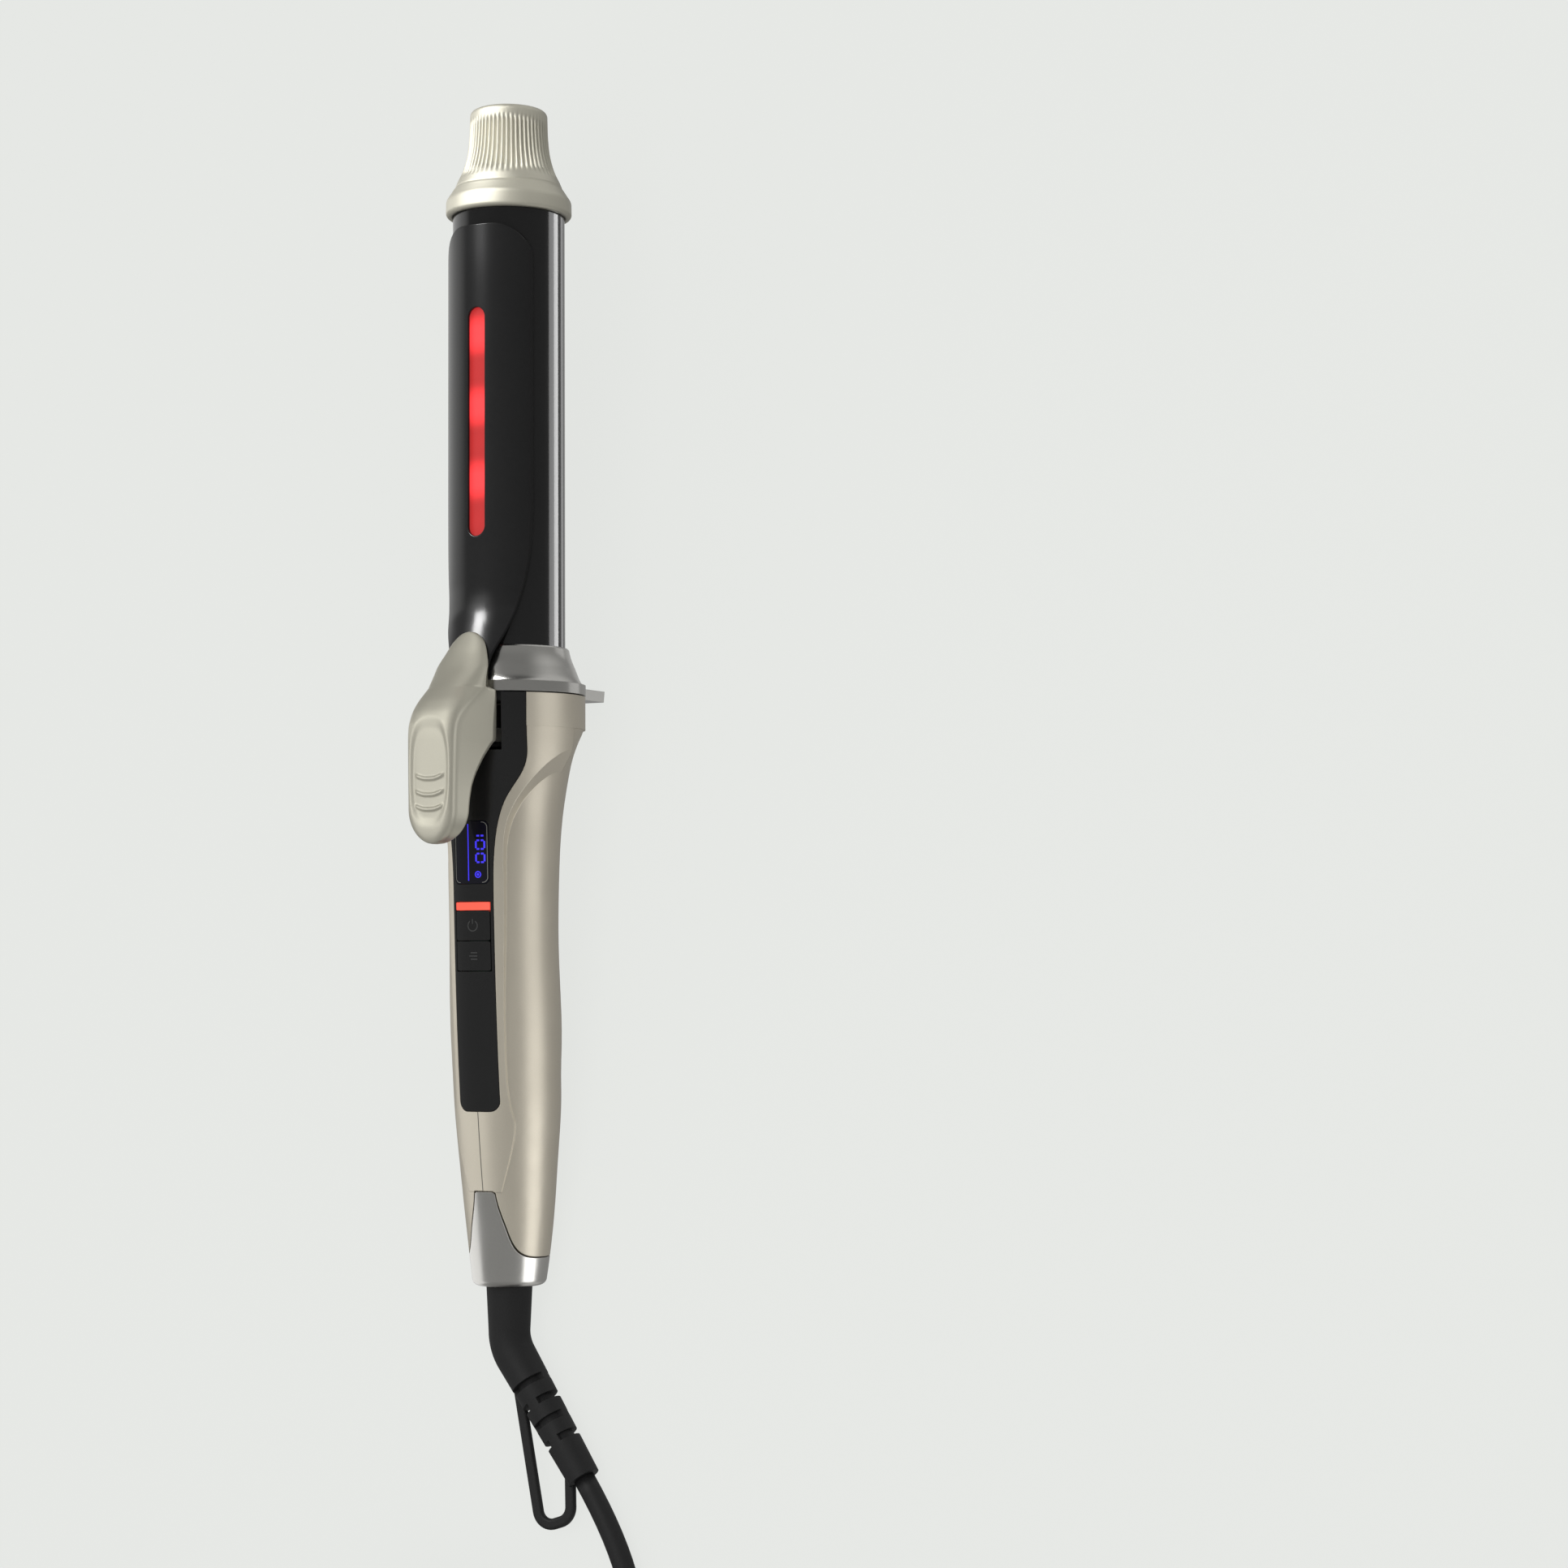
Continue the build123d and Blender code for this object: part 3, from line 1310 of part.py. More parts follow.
# Plug: a moulded body with a tapered relief, lying beside the coil, and two flat blades
plug = Plane(coil_exit - Vector(seat_gap, 0, 0), x_dir=(0, 1, 0), z_dir=(-1, 0, 0))
body_start = plug_relief
body_face = plug_relief + plug_length
with BuildPart() as plug_body:
    with BuildSketch(plug):
        Circle(cord_radius + plug_skin)
    with BuildSketch(plug.offset(body_start)):
        Circle(plug_neck_radius)
    loft()
    for k in range(plug_grooves):
        with BuildSketch(plug.offset(plug_groove_start + plug_groove_pitch * k)):
            Circle(2 * plug_neck_radius)
            Circle(cord_radius + plug_skin, mode=Mode.SUBTRACT)
            Rectangle(4 * plug_neck_radius, relief_bridge, rotation=90 * (k % 2), mode=Mode.SUBTRACT)
        extrude(amount=plug_groove_width, mode=Mode.SUBTRACT)
    with BuildSketch(plug.offset(body_start)):
        RectangleRounded(2 * plug_neck_radius + 2, 2 * plug_neck_radius + 1, plug_neck_radius - 1)
    with BuildSketch(plug.offset(body_start + plug_shoulder)):
        RectangleRounded(plug_width, plug_height, plug_corner)
    loft()
    with BuildSketch(plug.offset(body_start + plug_shoulder)):
        RectangleRounded(plug_width, plug_height, plug_corner)
    extrude(amount=plug_length - plug_shoulder)
plug_body.part.label = "plug_body"
export_step(plug_body.part, "parts/plug_body.step")

with BuildPart() as plug_blades:
    with BuildSketch(plug.offset(body_face)):
        with GridLocations(blade_pitch, 1, 2, 1):
            Rectangle(blade_thickness, blade_width)
    extrude(amount=blade_length)
    chamfer(plug_blades.edges().group_by(Axis.X)[0], blade_chamfer)
    with BuildSketch(Plane(plug.origin, x_dir=plug.z_dir, z_dir=plug.x_dir).offset(-plug_width)):
        with Locations((body_face + blade_length - blade_hole_setback, 0)):
            Circle(blade_hole_radius)
    extrude(amount=2 * plug_width, mode=Mode.SUBTRACT)
plug_blades.part.label = "plug_blades"
export_step(plug_blades.part, "parts/plug_blades.step")
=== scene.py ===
"""Looks of a curling iron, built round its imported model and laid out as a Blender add-on."""

import json
from math import cos, pi, radians, sin, sqrt

import bmesh
import bpy
from bpy.props import FloatProperty, FloatVectorProperty, IntProperty, PointerProperty
from mathutils import Matrix, Vector
from mathutils.bvhtree import BVHTree


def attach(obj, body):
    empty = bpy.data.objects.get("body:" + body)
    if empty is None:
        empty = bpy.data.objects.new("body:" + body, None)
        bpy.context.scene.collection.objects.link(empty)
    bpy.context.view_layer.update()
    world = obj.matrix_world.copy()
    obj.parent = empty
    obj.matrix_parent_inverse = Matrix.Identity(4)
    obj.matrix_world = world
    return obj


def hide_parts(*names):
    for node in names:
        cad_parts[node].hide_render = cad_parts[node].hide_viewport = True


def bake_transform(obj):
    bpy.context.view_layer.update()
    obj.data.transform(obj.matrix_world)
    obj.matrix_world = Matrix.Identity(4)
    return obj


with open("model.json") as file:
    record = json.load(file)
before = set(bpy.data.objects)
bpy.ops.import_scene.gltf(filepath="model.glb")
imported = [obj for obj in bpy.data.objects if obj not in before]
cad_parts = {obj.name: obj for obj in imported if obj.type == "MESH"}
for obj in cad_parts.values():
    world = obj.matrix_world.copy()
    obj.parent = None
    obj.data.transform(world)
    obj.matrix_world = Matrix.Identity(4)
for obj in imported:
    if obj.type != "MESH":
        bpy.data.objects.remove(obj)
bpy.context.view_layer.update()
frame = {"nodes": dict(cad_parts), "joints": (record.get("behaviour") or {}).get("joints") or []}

bl_info = {
    "name": "Curling Iron",
    "version": (1, 0, 0),
    "blender": (4, 5, 0),
    "location": "View3D > Sidebar > Iron",
    "description": "Builds the looks of a curling iron round its packed model",
    "category": "Object",
}

MM = 0.001

# The iron's own frame, read from the swivel at its end: side, height toward the clamp, station toward the tip
END_STATION = -166.6
swivel = next(joint for joint in frame["joints"] if joint["name"] == "cord_swivel")
along = Vector(swivel["axis"]).normalized()
if along.x < 0:
    along = -along
sideways = Vector((0, 1, 0))
upward = along.cross(sideways)
middle = Vector(swivel["pos_m"]) - along * END_STATION * MM
tool_matrix = Matrix((sideways, upward, along)).transposed().to_4x4()
tool_matrix.translation = middle


def tool_point(side, height, station):
    """A point of the iron's own frame, given in millimetres, as a place in the scene."""
    return tool_matrix @ (Vector((side, height, station)) * MM)


class IronFinish(bpy.types.PropertyGroup):
    """Colours of the finishes"""

    champagne: FloatVectorProperty(
        name="Champagne", description="Metallic lacquer of the lever and the cap",
        subtype="COLOR", size=3, min=0, max=1, default=(0.56, 0.54, 0.452))
    grip: FloatVectorProperty(
        name="Grip", description="Metallic lacquer of the handle",
        subtype="COLOR", size=3, min=0, max=1, default=(0.575, 0.53, 0.44))
    silver: FloatVectorProperty(
        name="Silver", description="Collar and end cap",
        subtype="COLOR", size=3, min=0, max=1, default=(0.7, 0.69, 0.66))
    black: FloatVectorProperty(
        name="Black", description="Coating of barrel, clamp and panel",
        subtype="COLOR", size=3, min=0, max=1, default=(0.0085, 0.0085, 0.0087))
    rubber: FloatVectorProperty(
        name="Rubber", description="Bush, cord and plug",
        subtype="COLOR", size=3, min=0, max=1, default=(0.012, 0.012, 0.0125))
    red: FloatVectorProperty(
        name="Red", description="Light under the clamp and on the panel",
        subtype="COLOR", size=3, min=0, max=1, default=(0.34, 0.022, 0.022))
    blue: FloatVectorProperty(
        name="Blue", description="Digits of the display",
        subtype="COLOR", size=3, min=0, max=1, default=(0.035, 0.025, 0.6))


class IronSizes(bpy.types.PropertyGroup):
    """Sizes of the refined pieces"""

    rib_count: IntProperty(name="Ribs", description="Soft ribs round the cap", default=54, min=3)
    rib_depth: FloatProperty(
        name="Rib depth", description="Depth of the valleys between the ribs", unit="LENGTH",
        default=0.8 * MM)
    pad_depth: FloatProperty(
        name="Pad depth", description="How deep the thumb pad lies in the lever, in millimetres", default=0.9)
    ridge_height: FloatProperty(
        name="Ridge height", description="Height of the thumb pad's ridges, in millimetres", default=0.6)


class IronStage(bpy.types.PropertyGroup):
    """Camera and studio"""

    camera_place: FloatVectorProperty(
        name="Camera place", description="Where the camera stands", subtype="TRANSLATION", unit="LENGTH",
        size=3, default=(-0.18986, -0.50769, 0.80637))
    focal_pixels: FloatProperty(
        name="Focal length", description="Focal length in pixels of the picture", default=4057.2)
    picture_side: IntProperty(name="Picture side", description="Width of the picture in pixels", default=1932)
    floor_tone: FloatVectorProperty(
        name="Floor", description="Colour of the table", subtype="COLOR", size=3, min=0, max=1,
        default=(0.785, 0.8, 0.777))
    floor_glow: FloatProperty(
        name="Floor glow", description="Share of the table's light that no shadow takes away", default=0.93)


# Helpers for meshes

MERGE_GAP = 0.002 * MM
OVER_ALL = 60.0  # a height over every piece
SQUARE = pi / 2


def add_piece(name, data):
    """A new object for a mesh or curve, linked to the scene."""
    piece = bpy.data.objects.new(name, data)
    bpy.context.scene.collection.objects.link(piece)
    return piece


def smooth_value(table, place):
    """The value at a place on a smooth curve, without overshoot, through (place, value) pairs in order."""
    if place <= table[0][0]:
        return table[0][1]
    if place >= table[-1][0]:
        return table[-1][1]
    gaps = [b[0] - a[0] for a, b in zip(table, table[1:])]
    rises = [(b[1] - a[1]) / gap for a, b, gap in zip(table, table[1:], gaps)]
    slopes = [rises[0]]
    for before, after in zip(rises, rises[1:]):
        slopes.append(2 * before * after / (before + after) if before * after > 0 else 0.0)
    slopes.append(rises[-1])
    k = max(n for n, pair in enumerate(table) if pair[0] <= place)
    share = (place - table[k][0]) / gaps[k]
    low, high = table[k][1], table[k + 1][1]
    ease = share * share * (3 - 2 * share)
    start = share * (1 - share) ** 2
    end = share * share * (share - 1)
    return low + (high - low) * ease + gaps[k] * (slopes[k] * start + slopes[k + 1] * end)


def smooth_step(low, high, value):
    """Zero before low, one after high and an even ease between them."""
    share = min(max((value - low) / (high - low), 0.0), 1.0)
    return share * share * (3 - 2 * share)


def finish_mesh(mesh, material):
    """Merges doubles, turns faces outwards, shades them smooth and gives the mesh its one material."""
    shape = bmesh.new()
    shape.from_mesh(mesh)
    bmesh.ops.remove_doubles(shape, verts=shape.verts, dist=MERGE_GAP)
    bmesh.ops.dissolve_degenerate(shape, edges=shape.edges, dist=MERGE_GAP)
    bmesh.ops.recalc_face_normals(shape, faces=shape.faces)
    for face in shape.faces:
        face.smooth = True
    shape.to_mesh(mesh)
    shape.free()
    mesh.materials.clear()
    mesh.materials.append(material)


def close_rings(shape, rings, looped):
    """Faces between rings of vertices, each with the next, and the last with the first where they loop."""
    count = len(rings[0])
    for near, far in zip(rings, rings[1:] + rings[:1] if looped else rings[1:]):
        for n in range(count):
            m = (n + 1) % count
            shape.faces.new((near[n], near[m], far[m], far[n]))


def shape_piece(name, shape):
    """A new object that takes over a finished shape."""
    mesh = bpy.data.meshes.new(name)
    shape.to_mesh(mesh)
    shape.free()
    return add_piece(name, mesh)


def settle(piece, material, slot, body, *nodes):
    """Gives a finished piece its material and body, and hides the CAD nodes that it stands for. The slot is
    not used.
    """
    finish_mesh(piece.data, material)
    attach(piece, body)
    if nodes:
        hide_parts(*nodes)


def plain_mesh(piece):
    """The piece's evaluated form as a plain mesh, with its modifiers removed."""
    graph = bpy.context.evaluated_depsgraph_get()
    mesh = bpy.data.meshes.new_from_object(piece.evaluated_get(graph))
    piece.modifiers.clear()
    piece.data = mesh


def surface_of(node):
    """A search tree over a CAD node's faces."""
    mesh = frame["nodes"][node].data
    places = [vertex.co.copy() for vertex in mesh.vertices]
    return BVHTree.FromPolygons(places, [tuple(face.vertices) for face in mesh.polygons])


def drop_on(surface, side, station, lift):
    """The place over a surface, straight down on the iron's front, at a lift in millimetres."""
    start = tool_point(side, OVER_ALL, station)
    hit = surface.ray_cast(start, -upward)[0]
    if hit is None:
        raise RuntimeError(f"nothing lies under {side:.1f}, {station:.1f}")
    return hit + upward * lift * MM


# Finishes


def feed(tree, node, inputs):
    """Gives a node's inputs, by name or number, what they take: a socket to link from or a plain value."""
    for label, value in dict(inputs).items():
        if isinstance(value, bpy.types.NodeSocket):
            tree.links.new(value, node.inputs[label])
        else:
            node.inputs[label].default_value = value


def add_node(tree, kind, inputs=(), **traits):
    """A new node with its traits and inputs."""
    node = tree.nodes.new(kind)
    for trait, value in traits.items():
        setattr(node, trait, value)
    feed(tree, node, inputs)
    return node


def value_node(tree, operation, *values):
    """A Math node whose inputs are sockets or plain numbers."""
    return add_node(tree, "ShaderNodeMath", enumerate(values), operation=operation).outputs["Value"]


def eased(tree, value, low, high, curve="SMOOTHSTEP"):
    """A Map Range node that goes from 0 at low to 1 at high."""
    limits = {"Value": value, "From Min": low, "From Max": high}
    return add_node(tree, "ShaderNodeMapRange", limits, interpolation_type=curve).outputs["Result"]


def mixed(tree, kind, factor, first, second):
    """A Mix node of one kind, between two sockets or plain values."""
    inputs = {"Factor": factor, "A": first, "B": second}
    return add_node(tree, "ShaderNodeMix", inputs, data_type=kind).outputs["Result"]


def part_along(tree, vector, direction):
    """How far a vector reaches along a direction."""
    node = add_node(tree, "ShaderNodeVectorMath", {0: vector, 1: direction}, operation="DOT_PRODUCT")
    return node.outputs["Value"]


def reach_from(tree, centre, direction):
    """How far a place on the surface lies from a centre along a direction, either way."""
    place = add_node(tree, "ShaderNodeTexCoord").outputs["Object"]
    gap = add_node(tree, "ShaderNodeVectorMath", {0: place, 1: centre}, operation="SUBTRACT")
    return value_node(tree, "ABSOLUTE", part_along(tree, gap.outputs["Vector"], direction))


GRAIN_DETAIL = 2.0
CLOUD_DETAIL = 4.0
CLOUD_SPREAD = (0.3, 0.7)  # noise values that stand for the lowest and highest roughness
RELIEF = 0.02 * MM
EDGE_SAMPLES = 4


def surface_group():
    """A node group with fine grain and soft clouds on Object coordinates."""
    name = "SurfaceGrain"
    if name in bpy.data.node_groups:
        return bpy.data.node_groups[name]
    group = bpy.data.node_groups.new(name, "ShaderNodeTree")
    for label, default in (("Grain Scale", 2000.0), ("Cloud Scale", 60.0), ("Low", 0.3), ("High", 0.4)):
        socket = group.interface.new_socket(label, in_out="INPUT", socket_type="NodeSocketFloat")
        socket.default_value = default
    for label in ("Grain", "Roughness"):
        group.interface.new_socket(label, in_out="OUTPUT", socket_type="NodeSocketFloat")
    entry = add_node(group, "NodeGroupInput").outputs
    place = add_node(group, "ShaderNodeTexCoord").outputs["Object"]
    grain, cloud = (
        add_node(group, "ShaderNodeTexNoise", {"Vector": place, "Scale": entry[scale], "Detail": detail})
        for scale, detail in (("Grain Scale", GRAIN_DETAIL), ("Cloud Scale", CLOUD_DETAIL))
    )
    spread = add_node(group, "ShaderNodeMapRange", {
        "Value": cloud.outputs["Fac"], "From Min": CLOUD_SPREAD[0], "From Max": CLOUD_SPREAD[1],
        "To Min": entry["Low"], "To Max": entry["High"],
    })
    add_node(group, "NodeGroupOutput", {"Grain": grain.outputs["Fac"], "Roughness": spread.outputs["Result"]})
    return group


def shade(colour, factor):
    """A colour made lighter or darker."""
    return tuple(min(1.0, channel * factor) for channel in colour)


def new_material(name):
    """A material with its node tree and shader."""
    material = bpy.data.materials.new(name)
    material.use_nodes = True
    return material, material.node_tree, material.node_tree.nodes["Principled BSDF"]


def finish_material(name, tones, rough, metallic=0.0, coat=0.0, coat_rough=0.05, grain=(2000.0, 60.0),
                    bump=0.0, edge=0.0):
    """A finish: colour between two tones by grain, roughness by clouds, a fine bump and softened edges."""
    material, tree, shader = new_material(name)
    surface = add_node(tree, "ShaderNodeGroup", node_tree=surface_group())
    feed(tree, surface, {"Grain Scale": grain[0], "Cloud Scale": grain[1], "Low": rough[0], "High": rough[1]})
    relief = add_node(tree, "ShaderNodeBump", {
        "Strength": bump, "Distance": RELIEF, "Height": surface.outputs["Grain"],
    })
    if edge:
        soften = add_node(tree, "ShaderNodeBevel", {"Radius": edge * MM}, samples=EDGE_SAMPLES)
        feed(tree, relief, {"Normal": soften.outputs["Normal"]})
    feed(tree, shader, {
        "Base Color": mixed(tree, "RGBA", surface.outputs["Grain"], (*tones[0], 1), (*tones[1], 1)),
        "Roughness": surface.outputs["Roughness"], "Metallic": metallic, "Coat Weight": coat,
        "Coat Roughness": coat_rough, "Normal": relief.outputs["Normal"],
    })
    return material


def overlay(material, label, kind, factor, value):
    """Mixes a value over what feeds one of the shader's inputs."""
    tree = material.node_tree
    shader = tree.nodes["Principled BSDF"]
    plain = shader.inputs[label].links[0].from_socket
    feed(tree, shader, {label: mixed(tree, kind, factor, plain, value)})


EDGE_SLANT = (0.84, 0.9)  # how squarely a face looks to the side before it counts as a cut edge
EDGE_ROUGH = 0.8
PARTING = (0.2 * MM, 0.08 * MM)  # distances where the parting line begins and is full
PARTING_TONE = (0.12, 0.115, 0.1, 1)


def dull_edges(material):
    """Makes faces that look to the iron's sides rough, as the bare cut edges of a coated sheet are."""
    tree = material.node_tree
    face = add_node(tree, "ShaderNodeNewGeometry").outputs["True Normal"]
    turned = value_node(tree, "ABSOLUTE", part_along(tree, face, sideways))
    overlay(material, "Roughness", "FLOAT", eased(tree, turned, *EDGE_SLANT, "LINEAR"), EDGE_ROUGH)


def parting_line(material):
    """Darkens a hairline along the iron's middle plane, where two halves meet."""
    tree = material.node_tree
    line = eased(tree, reach_from(tree, middle, sideways), *PARTING, "LINEAR")
    overlay(material, "Base Color", "RGBA", line, PARTING_TONE)


GLOW_ROUGH = 0.3
GLOW_CLOUDS = (120.0, 0.12)  # scale and share
SPOT_REACH = 8.0  # how far a bright spot spreads along the iron


def glow_material(name, colour, bright, strength, spots=()):
    """A glowing finish, brighter round stations along the iron."""
    material, tree, shader = new_material(name)
    place = add_node(tree, "ShaderNodeTexCoord").outputs["Object"]
    noise = add_node(tree, "ShaderNodeTexNoise", {"Vector": place, "Scale": GLOW_CLOUDS[0]})
    total = value_node(tree, "MULTIPLY", noise.outputs["Fac"], GLOW_CLOUDS[1])
    for station in spots:
        reach = reach_from(tree, tool_point(0, 0, station), along)
        total = value_node(tree, "ADD", total, eased(tree, reach, SPOT_REACH * MM, 0.0, "SMOOTHERSTEP"))
    tones = mixed(tree, "RGBA", total, (*colour, 1), (*bright, 1))
    feed(tree, shader, {
        "Roughness": GLOW_ROUGH, "Emission Strength": strength, "Base Color": tones, "Emission Color": tones,
    })
    return material


finishes = {}


PLAIN_FINISHES = {
    # material, darker and lighter tone, roughness, metallic, coat, grain and cloud scale, bump, edge
    "glass": ("DisplayGlass", (0.002, 0.002, 0.006), (0.003, 0.003, 0.011), (0.08, 0.14),
              0.0, 0.0, (800.0, 60.0), 0.01, 0.1),
    "steel": ("PlainSteel", (0.52, 0.52, 0.53), (0.6, 0.6, 0.61), (0.25, 0.35),
              1.0, 0.0, (1500.0, 80.0), 0.1, 0.0),
    "brass": ("PlainBrass", (0.66, 0.52, 0.27), (0.74, 0.6, 0.33), (0.24, 0.34),
              1.0, 0.0, (1500.0, 80.0), 0.08, 0.2),
    "aluminium": ("CastAluminium", (0.6, 0.6, 0.61), (0.7, 0.7, 0.71), (0.35, 0.5),
                  1.0, 0.0, (1200.0, 90.0), 0.2, 0.0),
    "ceramic": ("HeaterCeramic", (0.78, 0.75, 0.7), (0.86, 0.83, 0.78), (0.5, 0.6),
                0.0, 0.0, (1200.0, 90.0), 0.15, 0.0),
    "dark": ("DarkPlastic", (0.03, 0.03, 0.032), (0.045, 0.045, 0.048), (0.45, 0.6),
             0.0, 0.0, (1500.0, 90.0), 0.2, 0.0),
    "board": ("CoatedBoard", (0.02, 0.11, 0.05), (0.03, 0.15, 0.07), (0.3, 0.45),
              0.0, 0.0, (1500.0, 90.0), 0.1, 0.0),
    "lead": ("LeadSleeve", (0.62, 0.58, 0.54), (0.7, 0.66, 0.62), (0.45, 0.55),
             0.0, 0.0, (1500.0, 90.0), 0.1, 0.0),
    "strap": ("TieStrap", (0.014, 0.014, 0.015), (0.03, 0.03, 0.032), (0.6, 0.75),
              0.0, 0.0, (2600.0, 90.0), 0.5, 0.0),
    "line": ("FrameLine", (0.34, 0.34, 0.31), (0.42, 0.42, 0.39), (0.3, 0.4),
             0.6, 0.0, (2500.0, 90.0), 0.05, 0.0),
    "mark": ("KeyMark", (0.045, 0.045, 0.045), (0.06, 0.06, 0.06), (0.25, 0.35),
             0.0, 0.3, (2500.0, 90.0), 0.05, 0.0),
}


def make_finishes():
    """All finishes without a glow of their own, by name."""
    finish = bpy.context.scene.iron_finish

    def tones(colour, low, high):
        return shade(tuple(colour), low), shade(tuple(colour), high)

    lacquer = {
        "rough": (0.38, 0.44), "metallic": 0.62, "coat": 0.08, "coat_rough": 0.3, "grain": (3500.0, 90.0),
        "bump": 0.12, "edge": 0.25,
    }
    bright = {
        "tones": tones(finish.silver, 0.97, 1.03), "metallic": 1.0, "grain": (1500.0, 80.0), "bump": 0.05,
        "edge": 0.3,
    }
    dark = {"tones": tones(finish.black, 1.0, 1.4), "grain": (900.0, 50.0), "bump": 0.01}
    made = {
        "champagne": finish_material("ChampagneLacquer", tones(finish.champagne, 0.95, 1.05), **lacquer),
        "handle": finish_material("HandleLacquer", tones(finish.grip, 0.95, 1.05), **lacquer),
        "silver": finish_material("PolishedSilver", rough=(0.16, 0.24), **bright),
        "satin": finish_material("SatinSilver", rough=(0.27, 0.34), **bright),
        "black": finish_material("BlackCoating", rough=(0.1, 0.14), coat=0.25, coat_rough=0.03, **dark),
        "clamp": finish_material("ClampCoating", rough=(0.17, 0.21), **dark),
        "panel": finish_material(
            "BlackGlossPlastic", tones(finish.black, 1.0, 1.4), (0.2, 0.28), coat=0.15, coat_rough=0.08,
            grain=(1200.0, 60.0), bump=0.02, edge=0.15),
        "rubber": finish_material(
            "BlackRubber", tones(finish.rubber, 1.0, 1.5), (0.5, 0.62), grain=(1800.0, 70.0), bump=0.25,
            edge=0.25),
    }
    for key, (name, low, high, rough, metallic, coat, grain, bump, edge) in PLAIN_FINISHES.items():
        made[key] = finish_material(
            name, (low, high), rough, metallic=metallic, coat=coat, grain=grain, bump=bump, edge=edge)
    parting_line(made["handle"])
    dull_edges(made["clamp"])
    return made


def paint(material, *nodes):
    """Gives CAD nodes a material."""
    for node in nodes:
        slots = frame["nodes"][node].data.materials
        slots.clear()
        slots.append(material)


class IRON_OT_finishes(bpy.types.Operator):
    """Makes the finishes and gives the pieces that keep their CAD form theirs"""

    bl_idname = "iron.finishes"
    bl_label = "Finishes"

    def execute(self, context):
        finishes.update(make_finishes())
        painted = {
            "handle": ("handle_left", "handle_right"),
            "black": ("barrel_tube",),
            "silver": ("stand_collar",),
            "satin": ("end_cap",),
            "panel": ("control_panel", "power_button", "mode_button"),
            "glass": ("display_window",),
            "rubber": ("cord_bush", "hang_loop", "plug_body"),
            "strap": ("cord_tie",),
            "brass": ("plug_blades", "contact_rings"),
            "steel": ("hinge_bracket", "hinge_pin", "clamp_spring", "lever_screws", "thermal_fuse"),
            "aluminium": ("heater_block_left", "heater_block_right"),
            "ceramic": ("heater_plate",),
            "dark": ("tip_insulator", "barrel_holder", "swivel_housing", "button_switches",
                     "board_components", "display_module"),
            "board": ("circuit_board", "light_board"),
            "lead": ("heater_leads", "supply_leads"),
        }
        for name, nodes in painted.items():
            paint(finishes[name], *nodes)
        return {"FINISHED"}


# Cord

CORD_RADIUS = 3.0
FREE_ROUTE = ((-223.23, -26.12, 5.78), (-235.27, -35.03, 5.0), (-255.0, -43.9, 3.8))
RUN_IN = 24.0
COIL_CENTRE = Vector((-301.0, 2.0, 0))
COIL_PITCH = 6.2
COIL_INNER = 24.5
COIL_HALF_TURNS = 7
COIL_LOW = 4.0
COIL_TAIL = 27.0
STEPS = 8  # control points in each half turn
SWELL = 4 / (3 + cos(pi / STEPS))  # a quadratic spline runs inside its points by this much


def coil_points():
    """The coil's control points: half turns that spiral in on the table, climb, and spiral out on top."""
    outer = COIL_INNER + COIL_HALF_TURNS * COIL_PITCH / 2
    radii = [outer - k * COIL_PITCH / 2 for k in range(COIL_HALF_TURNS)]
    high = COIL_LOW + COIL_PITCH
    turns = [(radius, COIL_LOW, COIL_LOW) for radius in radii]
    turns.append((COIL_INNER, COIL_LOW, high))
    turns.extend((radius, high, high) for radius in reversed(radii[1:]))
    place = COIL_CENTRE + Vector((0, -outer, COIL_LOW))
    entry = place + Vector((2 * CORD_RADIUS, 0, 0))
    points = [entry + Vector((RUN_IN, 0, 0)), entry]
    for k, (radius, low, rise) in enumerate(turns):
        side = 1 if k % 2 else -1
        heart = place - Vector((0, side * radius, 0))
        for step in range(STEPS):
            share = (step + 0.5) / STEPS
            reach = side * radius * SWELL
            points.append(Vector((
                heart.x + reach * sin(pi * share),
                heart.y + reach * cos(pi * share),
                low + (rise - low) * share,
            )))
        place = heart - Vector((0, side * radius, 0))
        place.z = rise
    points.append(place - Vector((COIL_TAIL / 2, 0, 0)))
    points.append(place - Vector((COIL_TAIL, 0, 0)))
    return points


class IRON_OT_cord(bpy.types.Operator):
    """Lays the cord from the bush along the table into its coil and to the plug"""

    bl_idname = "iron.cord"
    bl_label = "Cord"

    def execute(self, context):
        route = [Vector(point) for point in FREE_ROUTE] + coil_points()
        curve = bpy.data.curves.new("cord_route", "CURVE")
        curve.dimensions = "3D"
        curve.resolution_u = 6
        spline = curve.splines.new("NURBS")
        spline.points.add(len(route) - 1)
        for point, place in zip(spline.points, route):
            point.co = (*(place * MM), 1)
        spline.order_u = 3
        spline.use_endpoint_u = True
        line = add_piece("cord_line", curve)
        graph = context.evaluated_depsgraph_get()
        path_mesh = bpy.data.meshes.new_from_object(line.evaluated_get(graph))
        curve.bevel_depth = CORD_RADIUS * MM
        curve.bevel_resolution = 5
        curve.use_fill_caps = True
        graph = context.evaluated_depsgraph_get()
        tube = bpy.data.meshes.new_from_object(line.evaluated_get(graph))
        bpy.data.objects.remove(line)
        bpy.data.meshes.remove(path_mesh)
        cord = add_piece("cord", tube)
        finish_mesh(tube, finishes["rubber"])
        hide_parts("power_cord", "cord_coil")
        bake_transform(cord)
        return {"FINISHED"}


# Cap

